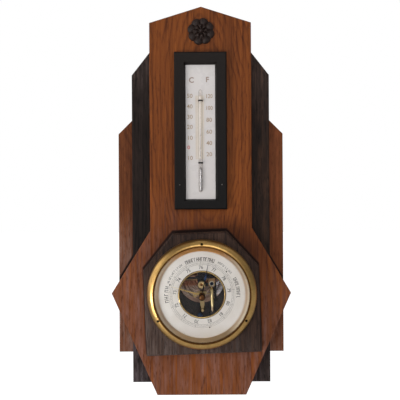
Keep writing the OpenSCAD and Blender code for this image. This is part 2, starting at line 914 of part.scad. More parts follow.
lug_y = rocker_y - 1.3;
lug_screw_place = [rocker_x, lug_low + 2.8];
washer_t = 0.3;

module pivot_lug() {
    half = 3.6;
    front = lug_y;
    color("#a5835c") in_dial() difference() {
        union() {
            translate([rocker_x - half, front, lug_low]) cube([2 * half, 2.6, bar_low - fit_gap - lug_low]);
            translate([rocker_x - half, front, bar_low - 3])
                cube([2 * half, lever_y - 0.3 - front, 3 - fit_gap]);
        }
        translate([rocker_x, rocker_y, 0]) upright_rod(pivot_r + fit_gap, lug_low - 1, rocker_high + 3.2);
        at(lug_screw_place) rod(0.85, front - 1, front + 4);
    }
}

module lug_screw() {
    color("#27406a") in_dial() at(lug_screw_place, lug_y - washer_t) pan_screw(2, 1, 0.8, 2.6);
}

module lug_washer() {
    color("#d8d6cf") in_dial() at(lug_screw_place) difference() {
        rod(3, lug_y - washer_t, lug_y);
        rod(0.85, lug_y - 1, lug_y + 1);
    }
}

module pivot_post() {
    color("#232226") in_dial() difference() {
        at([rocker_x, post_z]) rod(post_r, rocker_y - 2.4, plate_y);
        translate([rocker_x, rocker_y, 0])
            upright_rod(pivot_r + fit_gap, rocker_low - 3, post_z + post_r + 1);
    }
}

// The chain, the arbor and the two cocks that carry it

hook_r = 0.25;

module chain() {
    links = 9;
    side_y = 0.35;
    from = drum_r;
    to = rocker_x - 1.3;
    side_z = crank_t / 2 + 0.1;
    pitch = (to - from) / links;
    color("#a5874a") in_dial() translate([0, chain_y, chain_z]) {
        for (i = [0 : links - 1]) translate([from + i * pitch, 0, 0])
            for (layer = i % 2 == 0 ? [0] : [-0.18, 0.18]) translate([0, layer, 0])
                chain_plate(pitch, i % 2 == 0 ? 0.24 : 0.12);
        for (i = [0 : links]) translate([from + i * pitch, 0, 0]) rod(0.12, -0.3, 0.3);
        translate([rocker_x, 0, 0]) upright_rod(hook_r, -side_z - 0.3, side_z + 0.3);
        for (side = [-1, 1]) translate([to - 0.2, -side_y, side > 0 ? side_z : -side_z - 0.3])
            cube([rocker_x - to + 0.6, 2 * side_y, 0.3]);
        translate([to - 0.2, -side_y, -side_z - 0.1]) cube([0.3, 2 * side_y, 2 * side_z + 0.2]);
        translate([0, 0, -chain_z]) difference() {
            rod(drum_r + 0.45, -0.24, 0.24);
            rod(drum_r + fit_gap, -1, 1);
        }
    }
}

module chain_plate(pitch, thickness) {
    upright(-thickness / 2, thickness) {
        for (end = [0, pitch]) translate([end, 0]) circle(r = 0.28, $fn = 12);
        translate([0, -0.2]) square([pitch, 0.4]);
    }
}

pointer_y = -2.4;
pointer_t = 0.7;
collet_t = 0.6;

module arbor() {
    flange = drum_r + 0.7;
    color("#b9a36a") in_dial() turned([
        [0, pointer_y - 0.6], [arbor_r, pointer_y - 0.4], [arbor_r, cock_y + cock_t + 0.4],
        [arbor_r + collet_t, cock_y + cock_t + 0.4], [arbor_r + collet_t, spring_y + 1],
        [arbor_r, spring_y + 1], [arbor_r, chain_y - 1.4], [flange, chain_y - 1.4], [flange, chain_y - 1],
        [drum_r, chain_y - 1], [drum_r, chain_y + 1], [flange, chain_y + 1], [flange, chain_y + 1.4],
        [arbor_r, chain_y + 1.4], [arbor_r, rear_cock_y + 1.4], [0, rear_cock_y + 1.4]
    ]);
}

module arbor_cock() {
    head_x = 5.6;
    head_h = 3;
    neck_x = 2.4;
    stem_x = 1.4;
    color("#c2a057") in_dial() difference() {
        union() {
            upright(cock_y, cock_t) polygon([
                [-head_x, 0.8], [-head_x, head_h - 0.6], [0.6 - head_x, head_h], [head_x - 0.6, head_h],
                [head_x, head_h - 0.6], [head_x, 0.8], [3.2, -1.2], [neck_x, -8], [neck_x, -12.4],
                [stem_x, -15.4], [stem_x, cock_low], [-stem_x, cock_low], [-stem_x, -15.4],
                [-neck_x, -12.4], [-neck_x, -8], [-3.2, -1.2]
            ]);
            at([0, cock_low]) rod(2, cock_y, cock_y + cock_t);
        }
        rod(arbor_r + fit_gap, cock_y - 1, cock_y + cock_t + 1);
        at([0, cock_low]) rod(1.05, cock_y - 1, cock_y + cock_t + 1);
    }
}

module cock_pillar() {
    color("#c2a057") in_dial() at([0, cock_low]) difference() {
        union() {
            rod(2, cock_y + cock_t, plate_y);
            rod(2.8, rear_cock_y + cock_t + 0.1, plate_y);
        }
        rod(1.05, cock_y, cock_y + cock_t + 5);
    }
}

module rear_cock() {
    color("#c2a057") in_dial() difference() {
        upright(rear_cock_y, cock_t) {
            circle(r = 2.4);
            translate([-2.4, cock_low]) square([4.8, -cock_low]);
            translate([0, cock_low]) circle(r = 3.4);
        }
        rod(arbor_r + fit_gap, rear_cock_y - 1, rear_cock_y + 3);
        at([0, cock_low]) rod(2 + eps, rear_cock_y - 1, rear_cock_y + 3);
    }
}

module cock_screw() {
    color("#d0b060") in_dial() at([0, cock_low], cock_y) pan_screw(1.6, 1.3, 1, cock_t + 4);
}

// The hairspring, one flat spiral from the arbor's collet to its stud

spring_rings = 24;
spring_steps = ceil(spring_rings * spring_turns);
spring_end = atan2(stud_at.x, stud_at.y);
spring_out = norm(stud_at) - stud_r - spring_w / 2 - fit_gap;
spring_in = arbor_r + collet_t + spring_w / 2 + fit_gap;
spring_pitch = (spring_out - spring_in) / spring_turns;

// The spiral's point at a step, as [x, z], its outer end at the stud
function spring_point(step) =
    let (back = spring_steps - step, turn = 360 * back / spring_rings)
    along(spring_out - spring_pitch * turn / 360, spring_end - turn);

spring_points = [for (step = [0 : spring_steps]) spring_point(step)];
spring_gap = min([
    for (i = [0 : spring_steps]) for (j = [i + spring_rings / 2 : 1 : spring_steps])
        norm(spring_points[i] - spring_points[j])
]) - spring_w;
echo(str("least gap between the hairspring's turns: ", spring_gap, " mm"));
collet_gap = norm(spring_points[0]) - spring_w / 2 - arbor_r - collet_t;
echo(str("gap from the hairspring to its collet: ", collet_gap, " mm"));

module hairspring() {
    section = [for (angle = [0 : 60 : 300]) [spring_w / 2 * cos(angle), spring_h / 2 * sin(angle)]];
    sides = len(section);
    points = [for (point = spring_points) for (corner = section)
        let (radius = norm(point), outward = point / radius, place = outward * (radius + corner.x))
        [place.x, spring_y + corner.y, place.y]
    ];
    walls = [for (step = [0 : spring_steps - 1]) for (side = [0 : sides - 1])
        let (next = (side + 1) % sides, a = step * sides + side, b = step * sides + next)
        each [[a, b, b + sides], [a, b + sides, a + sides]]
    ];
    last = spring_steps * sides;
    ends = [for (side = [1 : sides - 2]) each [[0, side + 1, side], [last, last + side, last + side + 1]]];
    color("#5a6078") in_dial() polyhedron(points, concat(walls, ends));
}

module hairspring_stud() {
    color("#c2a057") in_dial() at(stud_at) rod(stud_r, cock_y + cock_t, spring_y + 1);
}

// The hands

// Turns a hand drawn upwards to its clockwise angle
module hand(clockwise) {
    rotate([0, clockwise, 0]) children();
}

module pointer() {
    swell_at = 18.5;
    swell_l = 3.4;
    color("#1e2a44") in_dial() hand(pointer_angle) difference() {
        union() {
            upright(pointer_y, pointer_t) polygon([
                [-0.7, 0], [-0.55, swell_at - swell_l], [-1.5, swell_at], [-0.45, swell_at + swell_l],
                [-0.3, pointer_l - 3], [0, pointer_l], [0.3, pointer_l - 3], [0.45, swell_at + swell_l],
                [1.5, swell_at], [0.55, swell_at - swell_l], [0.7, 0], [0.9, -4.4], [0, -5.2], [-0.9, -4.4]
            ]);
            rod(2.1, pointer_y - 0.3, pointer_y + 2.2);
        }
        rod(arbor_r + eps, pointer_y - 2, pointer_y + 4);
    }
}

spindle_r = 1.5;
set_y = glass_back + 0.35;
set_t = 0.6;

module set_hand() {
    ring_at = [-2.3, 7.6];
    color("#c9a24e") in_dial() hand(-set_hand_angle) difference() {
        upright(set_y, set_t) difference() {
            union() {
                circle(r = 3);
                polygon([[-1.1, 0], [1.1, 0], [0.6, 12], [0.5, 30], [0, set_hand_l], [-0.5, 30], [-0.7, 14]]);
                translate(ring_at) circle(r = 2);
            }
            translate(ring_at) circle(r = 1.1);
        }
        rod(spindle_r + eps, set_y - 1, set_y + 2);
    }
}

module set_spindle() {
    base = glass_y - 0.5;
    top = base - knob_h;
    color("#6b4a2a") in_dial() turned([
        [0, top], [0.45 * knob_r, top + 0.1], [0.8 * knob_r, top + 0.7], [knob_r, top + 2],
        [knob_r, top + 4.2], [0.86 * knob_r, top + 5], [0.6 * knob_r, top + 5.8],
        [0.56 * knob_r, base - 2.2], [0.8 * knob_r, base - 1], [0.85 * knob_r, base], [spindle_r, base],
        [spindle_r, set_y + set_t + 0.2], [0, set_y + set_t + 0.2]
    ]);
}

module set_washer() {
    color("#c9a24e") in_dial() turned([
        [spindle_r + eps, glass_y - 0.5 + eps], [knob_r, glass_y - 0.5 + eps], [knob_r, glass_y - eps],
        [spindle_r + eps, glass_y - eps]
    ]);
}

back_board();
middle_board();
front_board();
board_screws();
hanger_plate();
hanger_screws();
dial_block();
rosette();
thermometer_frame();
frame_pins();
scale_plate();
thermometer_tube();
mercury();
tube_clips();
case();
case_screws();
bezel();
bezel_screws();
dial_glass();
sight_ring();
dial();
opening_rim();
dial_pillars();
dial_pins();
base_plate();
base_spacers();
base_screws();
front_diaphragm();
rear_diaphragm();
adjusting_screw();
capsule_post();
bridge();
bridge_screws();
spring_clamp();
clamp_screws();
mainspring();
main_lever();
lever_boss();
link();
rocking_shaft();
pivot_lug();
lug_washer();
lug_screw();
pivot_post();
chain();
arbor();
arbor_cock();
cock_pillar();
rear_cock();
cock_screw();
hairspring();
hairspring_stud();
pointer();
set_hand();
set_spindle();
set_washer();
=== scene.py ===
import json
import math
import random
from collections import namedtuple

import bmesh
import bpy
from mathutils import Matrix, Vector


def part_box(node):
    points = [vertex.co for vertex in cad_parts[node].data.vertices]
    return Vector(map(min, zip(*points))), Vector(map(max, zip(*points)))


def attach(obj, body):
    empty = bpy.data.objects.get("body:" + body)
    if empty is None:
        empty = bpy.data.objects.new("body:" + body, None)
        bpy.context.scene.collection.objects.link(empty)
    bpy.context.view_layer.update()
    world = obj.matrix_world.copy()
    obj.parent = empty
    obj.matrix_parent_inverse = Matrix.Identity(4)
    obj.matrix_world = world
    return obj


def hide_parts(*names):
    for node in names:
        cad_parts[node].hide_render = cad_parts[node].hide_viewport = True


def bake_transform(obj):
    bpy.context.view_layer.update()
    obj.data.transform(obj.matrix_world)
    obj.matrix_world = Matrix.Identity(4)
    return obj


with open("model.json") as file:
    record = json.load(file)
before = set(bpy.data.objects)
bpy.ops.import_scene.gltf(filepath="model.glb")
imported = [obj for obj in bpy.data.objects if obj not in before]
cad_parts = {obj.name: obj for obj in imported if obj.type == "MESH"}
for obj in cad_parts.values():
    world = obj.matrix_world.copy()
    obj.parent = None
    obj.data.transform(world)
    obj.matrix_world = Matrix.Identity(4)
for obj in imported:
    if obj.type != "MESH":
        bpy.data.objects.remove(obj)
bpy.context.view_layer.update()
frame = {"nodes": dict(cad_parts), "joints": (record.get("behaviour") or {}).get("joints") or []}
nodes = frame["nodes"]
joints = {joint["name"]: joint for joint in frame["joints"]}
MM = 0.001

# The dial's own frame: x to the right, y behind the dial, z up, turned a little with its block
dial_centre = Vector(joints["pointer_turn"]["pos_m"])
dial_x = Vector(joints["lever_swing"]["axis"]).normalized()
dial_z = Vector(joints["rocking"]["axis"]).normalized()
IN_DIAL = Matrix.Translation(dial_centre) @ Matrix((dial_x, (0, 1, 0), dial_z)).transposed().to_4x4()

# Shader helpers


def rgb(red, green, blue):
    """A colour written as sRGB from 0 to 255, as linear values."""
    linear = [
        (c / 255 / 12.92) if c / 255 <= 0.04045 else ((c / 255 + 0.055) / 1.055) ** 2.4
        for c in (red, green, blue)
    ]
    return (*linear, 1.0)


class Shader:
    """The nodes of a material or of the world."""

    def __init__(self, owner, output="ShaderNodeOutputMaterial"):
        owner.use_nodes = True
        self.owner = owner
        self.tree = owner.node_tree
        self.tree.nodes.clear()
        self.output = self.tree.nodes.new(output)

    def add(self, kind, inputs=None, **settings):
        node = self.tree.nodes.new(kind)
        for key, value in settings.items():
            setattr(node, key, value)
        for key, value in (inputs or {}).items():
            self.set(node.inputs[key], value)
        return node

    def set(self, socket, value):
        if isinstance(value, bpy.types.NodeSocket):
            self.tree.links.new(value, socket)
        elif socket.type == "VECTOR" and not hasattr(value, "__len__"):
            socket.default_value = (value, value, value)
        else:
            socket.default_value = value

    def math(self, operation, a, b=0.0, clamp=False):
        node = self.add("ShaderNodeMath", {0: a, 1: b}, operation=operation)
        node.use_clamp = clamp
        return node.outputs[0]

    def plus(self, a, b, clamp=False):
        return self.math("ADD", a, b, clamp)

    def minus(self, a, b):
        return self.math("SUBTRACT", a, b)

    def times(self, a, b):
        return self.math("MULTIPLY", a, b)

    def length(self, a, b):
        """The distance of the point (a, b) from the origin."""
        return self.math("SQRT", self.plus(self.math("POWER", a, 2.0), self.math("POWER", b, 2.0)))

    def spread(self, noise, reach):
        """A noise from 0 to 1, as a shift to both sides of 0."""
        return self.times(self.minus(noise, 0.5), reach)

    def mix(self, factor, a, b):
        node = self.add("ShaderNodeMix", data_type="RGBA")
        self.set(node.inputs[0], factor)
        self.set(node.inputs[6], a)
        self.set(node.inputs[7], b)
        return node.outputs[2]

    def ramp(self, factor, stops):
        node = self.add("ShaderNodeValToRGB", {0: factor})
        node.color_ramp.interpolation = "EASE"
        elements = node.color_ramp.elements
        while len(elements) < len(stops):
            elements.new(0.5)
        for element, (place, value) in zip(elements, stops):
            element.position = place
            element.color = (value, value, value, 1)
        return node.outputs[0]

    def window(self, value, low, high):
        """0 at low, 1 at high, a straight line between them and level beyond. low may be the larger."""
        return self.add("ShaderNodeMapRange", {0: value, 1: low, 2: high, 3: 0.0, 4: 1.0}).outputs[0]

    def place(self, scale=(1, 1, 1), offset=(0, 0, 0), matrix=None):
        """The point in mm, in the row frame or in a matrix's own frame, then scaled and moved."""
        vector = self.add("ShaderNodeTexCoord").outputs["Object"]
        if matrix is not None:
            back = matrix.inverted()
            rotated = self.add("ShaderNodeMapping", {"Vector": vector}, vector_type="POINT")
            rotated.inputs["Rotation"].default_value = back.to_euler()
            rotated.inputs["Location"].default_value = back.to_translation()
            vector = rotated.outputs[0]
        mapped = self.add("ShaderNodeMapping", {"Vector": vector}, vector_type="POINT")
        mapped.inputs["Scale"].default_value = [s / MM for s in scale]
        mapped.inputs["Location"].default_value = offset
        return mapped.outputs[0]

    def axes(self, vector):
        return self.add("ShaderNodeSeparateXYZ", {0: vector}).outputs

    def noise(self, vector, scale=1.0, detail=2.0, roughness=0.5, distortion=0.0):
        inputs = {"Scale": scale, "Detail": detail, "Roughness": roughness, "Distortion": distortion}
        return self.add("ShaderNodeTexNoise", {"Vector": vector, **inputs}).outputs["Fac"]

    def grain(self, across, along, offset, detail=2.0, roughness=0.5):
        """A noise stretched along the upright grain, as fine each way as across and along, per mm."""
        return self.noise(self.place((across, across, along), offset), detail=detail, roughness=roughness)

    def cloud(self, fineness, offset, detail=2.0, roughness=0.5):
        """A noise that is equally fine every way, per mm."""
        return self.grain(fineness, fineness, offset, detail, roughness)

    def bump(self, height, strength, distance):
        inputs = {"Height": height, "Strength": strength, "Distance": distance}
        return self.add("ShaderNodeBump", inputs).outputs[0]

    def principled(self, **inputs):
        node = self.add("ShaderNodeBsdfPrincipled")
        for key, value in inputs.items():
            self.set(node.inputs[key.replace("_", " ")], value)
        return node.outputs[0]

    def done(self, surface):
        self.tree.links.new(surface, self.output.inputs["Surface"])
        return self.owner


def new_material(name):
    return Shader(bpy.data.materials.new(name))


def seeded(seed, x, y, z):
    """A noise's offset, so that two materials differ."""
    return (seed * x, seed * y, seed * z)


# Stains and painted light and shade, which oak, metal and enamel lay over their colour in the same way

# Each stain or painted light begins where its measure reaches starts and is full where it reaches full, in
# mm
StainAndPaintedLight = namedtuple("StainAndPaintedLight", "measure starts full color")


def dial_place(s):
    """What stains and painted light are measured by in the dial's frame, in mm."""
    x, y, z = s.axes(s.place(matrix=IN_DIAL))
    return {"radius": s.length(x, z), "side": x, "depth": y, "height": z}


def stained(s, color, stains_and_light, measures, wander=None):
    """A colour with stains and painted light and shade over it. wander shifts the edge of each, in mm."""
    for layer in stains_and_light:
        where = measures[layer.measure]
        if wander is not None:
            where = s.plus(where, wander)
        color = s.mix(s.window(where, layer.starts, layer.full), color, layer.color)
    return color


# The dial's block, in the dial's frame, in mm
BLOCK_HALF, BLOCK_TOP, BLOCK_FOOT = 65.1, 69.5, -67.9
BLOCK_CORNER, BLOCK_SHOULDER = 30.5, 29.5

# The front board's slope over its side points, and the back board's face, in the row frame, in mm
FLARE_TOP, FLARE_POINT = Vector((59.0, -132.5)), Vector((104.0, -208.0))
BACK_FACE = -9.0


def beyond_line(s, x, z, low_end, high_end):
    """How far a point is outside a straight edge, on the right or mirrored on the left, in mm."""
    along = high_end - low_end
    outwards = Vector((along.y, -along.x)).normalized()
    across = s.plus(s.times(s.math("ABSOLUTE", x), outwards.x), s.times(z, outwards.y))
    return s.minus(across, outwards.dot(low_end))


def block_edge(s, x, z):
    """How far a point is outside the dial's block, in mm, from its place in the dial's frame."""
    low_end, high_end = Vector((BLOCK_HALF, BLOCK_SHOULDER)), Vector((BLOCK_CORNER, BLOCK_TOP))
    shoulder = beyond_line(s, x, z, low_end, high_end)
    upright = s.math("MAXIMUM", s.minus(z, BLOCK_TOP), s.minus(BLOCK_FOOT, z))
    side = s.minus(s.math("ABSOLUTE", x), BLOCK_HALF)
    return s.math("MAXIMUM", s.math("MAXIMUM", upright, shoulder), side)


def flare_edge(s, x, y, z):
    """How far a point is above the sloping edges over the front board's side points, below those points or
    behind the back board's face, in mm."""
    above = beyond_line(s, x, z, FLARE_POINT, FLARE_TOP)
    beyond = s.math("MAXIMUM", s.minus(FLARE_POINT.y, z), s.minus(y, BACK_FACE))
    return s.math("MAXIMUM", above, beyond)


# Kinds of material

# A log's rings as they show on a board: the middle of their arches, the log centre's depth behind the face,
# how much that depth swells, a height where it is least, the distance between such heights, and the ring
# width, in mm
Rings = namedtuple("Rings", "middle depth swell height length width")
RING_SHADES = [(0.0, 0.35), (0.3, 0.15), (0.62, 0.45), (0.84, 1.0), (0.93, 0.85), (1.0, 0.35)]

# Rubbed and dusty wood, low on the left also a painted sheen of the light: the heights in mm where it ends
# and is full, how far those lean sideways, and how strong it is
DustAndSheen = namedtuple("DustAndSheen", "color ends full lean amount")

# A painted shadow of the dial's block on the board above it: the radii in mm where it ends and is full, and
# how strong it is
BlockShadow = namedtuple("BlockShadow", "color ends full amount")


def ring_figure(s, x, y, z, offset, rings, drift):
    """The arched figure where the board's face cuts the rings, on both sides of 0."""
    bend = s.grain(0.03, 0.009, offset, detail=3)
    across = s.plus(s.minus(x, rings.middle), s.spread(bend, 22.0))
    turn = s.math("COSINE", s.times(s.minus(z, rings.height), 2 * math.pi / rings.length))
    deep = s.plus(s.times(s.minus(1.0, turn), rings.swell), s.plus(y, rings.depth))
    count = s.plus(s.math("DIVIDE", s.length(across, deep), rings.width), s.times(drift, 3.0))
    band = s.ramp(s.math("FRACT", count), RING_SHADES)
    strength = s.grain(0.07, 0.012, offset)
    return s.times(s.minus(band, 0.45), s.window(strength, 0.3, 0.62))


def oak(
    name, light, dark, pore, seed, rings,
    figure=0.5, streaks=0.5, pores=0.6, specular=0.2, dust=(), block_shadow=None, stains_and_light=(),
):
    """Stained oak with upright grain: figure, streaks and pores are how strong each of these is."""
    s = new_material(name)
    offset = seeded(seed, 13.7, 7.1, 3.3)
    x, y, z = s.axes(s.place())
    drift = s.grain(0.022, 0.007, offset, detail=3)
    coarse = s.grain(0.36, 0.007, offset, detail=4, roughness=0.62)
    fibre = s.grain(0.8, 0.016, offset, detail=3, roughness=0.7)
    dashes = s.window(s.grain(0.62, 0.085, offset, detail=3, roughness=0.65), 0.54, 0.68)
    tone = s.plus(0.5, s.times(ring_figure(s, x, y, z, offset, rings, drift), figure))
    tone = s.plus(tone, s.spread(coarse, 2.4 * streaks))
    tone = s.plus(tone, s.spread(fibre, 2.6 * streaks))
    tone = s.plus(tone, s.spread(drift, 0.9), clamp=True)
    color = s.mix(s.times(dashes, pores), s.mix(tone, light, dark), pore)

    patch = s.grain(0.12, 0.03, offset, detail=4, roughness=0.65)
    for rub_and_sheen in dust:
        place = s.plus(z, s.times(x, rub_and_sheen.lean))
        where = s.times(s.window(place, rub_and_sheen.ends, rub_and_sheen.full), s.window(patch, 0.3, 0.6))
        where = s.times(where, s.minus(1.0, s.times(dashes, 0.8)))
        where = s.times(where, s.window(coarse, 0.35, 0.6))
        color = s.mix(s.times(where, rub_and_sheen.amount), color, rub_and_sheen.color)

    measures = dial_place(s)
    # Painted shadow of the dial's block on the board above it, heavier on the right
    if block_shadow:
        where = s.window(measures["radius"], block_shadow.ends, block_shadow.full)
        where = s.times(where, s.window(measures["height"], 15.0, 45.0))
        more_shadow_on_the_right = s.times(s.window(measures["side"], -40.0, 40.0), 0.45)
        where = s.times(where, s.plus(0.55, more_shadow_on_the_right))
        color = s.mix(s.times(where, block_shadow.amount), color, block_shadow.color)
    # How far outside the dial's block, for a painted shadow line on the board along its edges
    measures["block"] = block_edge(s, measures["side"], measures["height"])
    # How far beyond the front board's sloping edges, for a painted shadow line on the back board
    measures["flare"] = flare_edge(s, x, y, z)
    color = stained(s, color, stains_and_light, measures)

    relief = s.minus(s.times(fibre, 0.4), s.times(dashes, 0.8))
    return s.done(
        s.principled(
            Base_Color=color,
            Roughness=s.plus(0.46, s.times(fibre, 0.2)),
            Normal=s.bump(relief, 0.3, 0.0003),
            Specular_IOR_Level=specular,
        )
    )


def painted_wood(name, color, worn, seed, rough=0.38, shade_heights=None):
    """Black lacquer: faint grain, rubbed spots and a soft gloss. Its last argument is the heights in mm
    between which a painted shade, darkest at the bottom, gets lighter."""
    s = new_material(name)
    offset = seeded(seed, 5.1, 2.3, 9.7)
    grain = s.grain(1.4, 0.06, offset, detail=4, roughness=0.6)
    dust = s.grain(0.35, 0.2, offset, detail=7, roughness=0.7)
    tone = s.mix(s.window(dust, 0.5, 0.85), color, worn)
    tone = s.mix(s.times(s.window(grain, 0.55, 0.75), 0.35), tone, rgb(12, 10, 10))
    if shade_heights:
        height = s.axes(s.place())[2]
        # Painted shade: darker towards the bottom, between the two heights
        tone = s.mix(s.minus(1.0, s.window(height, *shade_heights)), tone, rgb(11, 11, 12))
    return s.done(
        s.principled(
            Base_Color=tone,
            Roughness=s.plus(rough, s.times(dust, 0.25)),
            Normal=s.bump(grain, 0.2, 0.0003),
            Specular_IOR_Level=0.18,
        )
    )


def metal(name, bright, dull, rough=0.25, tarnish=0.5, seed=1.0, turned=False, brushed=0.12, stains_and_light=()):
    """Worn metal: patches of tarnish, fine scratches and, when turned, marks around the dial's axis."""
    s = new_material(name)
    offset = seeded(seed, 3.7, 8.9, 1.9)
    cloud = s.cloud(0.12, offset, detail=6, roughness=0.65)
    spots = s.cloud(1.1, offset, detail=4, roughness=0.6)
    measures = dial_place(s)
    if turned:
        turning = {0: measures["radius"], 1: measures["depth"], 2: 0.0}
        lines = s.add("ShaderNodeCombineXYZ", turning).outputs[0]
        marks = s.noise(lines, scale=4.4, detail=3, roughness=0.7)
    else:
        marks = s.grain(2.0, 0.3, offset, detail=4, roughness=0.65)
    patches = s.window(s.plus(s.times(cloud, 0.7), s.times(spots, 0.3)), 0.38, 0.66)
    amount = s.times(patches, tarnish)
    color = s.mix(amount, bright, dull)
    color = stained(s, color, stains_and_light, measures, wander=s.spread(spots, 1.2))
    roughness = s.plus(rough, s.times(amount, 0.22))
    return s.done(
        s.principled(
            Base_Color=color,
            Metallic=1.0,
            Roughness=s.plus(roughness, s.spread(marks, 0.15), clamp=True),
            Normal=s.bump(marks, brushed, 0.0001),
        )
    )


def corrugated_skin(name):
    """The capsule's copper alloy: crinkled light and dark lines, and on the right a painted reflection, a
    silvery fan.
    """
    s = new_material(name)
    dial = dial_place(s)
    x, z = dial["side"], dial["height"]
    warp = s.noise(s.place((0.24, 0.24, 0.24)), distortion=2.6)
    crinkle = s.math("ABSOLUTE", s.minus(s.math("FRACT", s.times(warp, 9.0)), 0.5))
    light = s.window(crinkle, 0.34, 0.46)
    dark = s.window(crinkle, 0.12, 0.03)
    middle = s.times(s.window(z, 9.0, 6.5), s.window(z, -6.5, -3.5))
    cloud = s.cloud(0.16, (5, 3, 1), detail=4)
    color = s.mix(cloud, rgb(220, 182, 160), rgb(162, 132, 116))
    color = s.mix(s.window(z, 4.0, 9.0), color, rgb(198, 138, 110))
    color = s.mix(s.times(light, middle), color, rgb(255, 246, 232))
    color = s.mix(s.times(dark, middle), color, rgb(48, 42, 38))
    # Painted reflection: silvery streaks fanning out on the right of the capsule
    angle = s.math("ARCTAN2", s.minus(z, 2.0), s.minus(x, 2.0))
    spokes = {0: s.times(angle, 14.0), 1: s.times(dial["radius"], 0.12)}
    rays = s.noise(s.add("ShaderNodeCombineXYZ", spokes).outputs[0], detail=3)
    painted_reflection_fan = s.times(s.window(x, 12.5, 15.0), s.window(z, -6.0, -2.0))
    color = s.mix(s.times(painted_reflection_fan, s.window(rays, 0.4, 0.52)), color, rgb(255, 250, 255))
    return s.done(
        s.principled(
            Base_Color=color,
            Metallic=1.0,
            Roughness=s.plus(0.4, s.times(cloud, 0.15)),
            Normal=s.bump(warp, 0.5, 0.0006),
        )
    )


def enamel(name, color, yellowed, seed, rough=0.45, amount=0.5, stains_and_light=()):
    """A painted or printed white face, a little yellowed and finely specked."""
    s = new_material(name)
    offset = seeded(seed, 4.3, 6.1, 2.9)
    cloud = s.cloud(0.05, offset, detail=5, roughness=0.6)
    speck = s.cloud(1.6, offset, detail=3, roughness=0.7)
    color = stained(s, color, stains_and_light, dial_place(s))
    tone = s.mix(s.times(s.window(cloud, 0.4, 0.75), amount), color, yellowed)
    tone = s.mix(s.times(s.window(speck, 0.66, 0.74), 0.35), tone, yellowed)
    return s.done(
        s.principled(
            Base_Color=tone,
            Roughness=s.plus(rough, s.times(cloud, 0.12)),
            Normal=s.bump(speck, 0.04, 0.0001),
            Specular_IOR_Level=0.4,
        )
    )


def ink(name, color, faded, seed=1.0):
    """Printing that is a little rubbed."""
    s = new_material(name)
    rubbed = s.cloud(0.9, seeded(seed, 1, 1, 1), detail=4, roughness=0.7)
    return s.done(s.principled(Base_Color=s.mix(s.window(rubbed, 0.42, 0.75), color, faded), Roughness=0.6))


def window_glass(name, tint, edge, gloss, narrow, seed=1.0):
    """Thin clear glass: what is behind shows through it, and its rim and grazing parts reflect. narrow is
    how close to the outline the edge colour stays."""
    s = new_material(name)
    normal = s.bump(s.cloud(0.05, (seed, 0, 0)), 0.05, 0.0005)
    fresnel = s.add("ShaderNodeFresnel", {"IOR": 1.45, "Normal": normal}).outputs[0]
    facing = s.add("ShaderNodeLayerWeight", {"Blend": 0.35}).outputs["Facing"]
    outline = s.math("POWER", facing, narrow)
    clear = s.add("ShaderNodeBsdfTransparent", {"Color": s.mix(outline, tint, edge)})
    shine = s.add("ShaderNodeBsdfGlossy", {"Color": (1, 1, 1, 1), "Roughness": 0.03, "Normal": normal})
    share = s.times(fresnel, gloss)
    mixed = s.add("ShaderNodeMixShader", {0: share, 1: clear.outputs[0], 2: shine.outputs[0]})
    return s.done(mixed.outputs[0])


# Camera, light, floor and background

PHOTO_PX = 400
# How many mm a pixel of the photograph is at the front board's face
PHOTO_MM = 1.158
# The camera's distance from that face and what it looks at, in metres, and its roll in degrees
DISTANCE = 0.7
FACE_Y = -0.027
CENTRE_X, CENTRE_Z = -0.00106, -0.1001
ROLL = -0.30
SENSOR = 36

camera_data = bpy.data.cameras.new("camera")
camera_data.sensor_width = SENSOR
camera_data.lens = SENSOR * DISTANCE / (PHOTO_PX * PHOTO_MM * MM)
camera = bpy.data.objects.new("camera", camera_data)
bpy.context.scene.collection.objects.link(camera)
upright = Matrix.Rotation(math.radians(90), 4, "X")
camera.rotation_euler = (upright @ Matrix.Rotation(math.radians(ROLL), 4, "Z")).to_euler()
camera.location = (CENTRE_X, FACE_Y - DISTANCE, CENTRE_Z)
bpy.context.scene.camera = camera

bpy.context.scene.view_settings.view_transform = "Standard"


def lamp(name, place, target, size, power, color=(1, 1, 1)):
    data = bpy.data.lights.new(name, "AREA")
    data.shape = "DISK"
    data.size = size
    data.energy = power
    data.color = color
    light = bpy.data.objects.new(name, data)
    bpy.context.scene.collection.objects.link(light)
    light.location = place
    light.rotation_euler = (Vector(target) - Vector(place)).to_track_quat("-Z", "Y").to_euler()


WARM = (1.0, 0.985, 0.965)
lamp("key", (-0.95, -0.85, -0.7), (0.0, -0.03, -0.12), size=0.75, power=24.0, color=WARM)
lamp("fill", (0.1, -1.4, 0.4), (0.0, -0.03, -0.1), size=0.9, power=4.0)

AMBIENT = (0.61, 0.61, 0.62, 1)
WHITE = (1, 1, 1, 1)
# What shiny pieces mirror: a dim room, and in it a pale wall on the left, a pale table below and a pale
# ceiling. Each is a direction, how nearly a ray must point there for it to begin and to be full, and its
# brightness.
ROOM = 0.135
PALE_THINGS = [
    ((-1.0, -0.12, -0.1), 0.62, 0.84, 3.0),
    ((-0.2, -0.1, -1.0), 0.3, 0.9, 0.12),
    ((0.3, 0.0, 1.0), 0.5, 0.95, 0.2),
]
MIRRORED_WHITE = (1.0, 0.98, 0.95, 1)


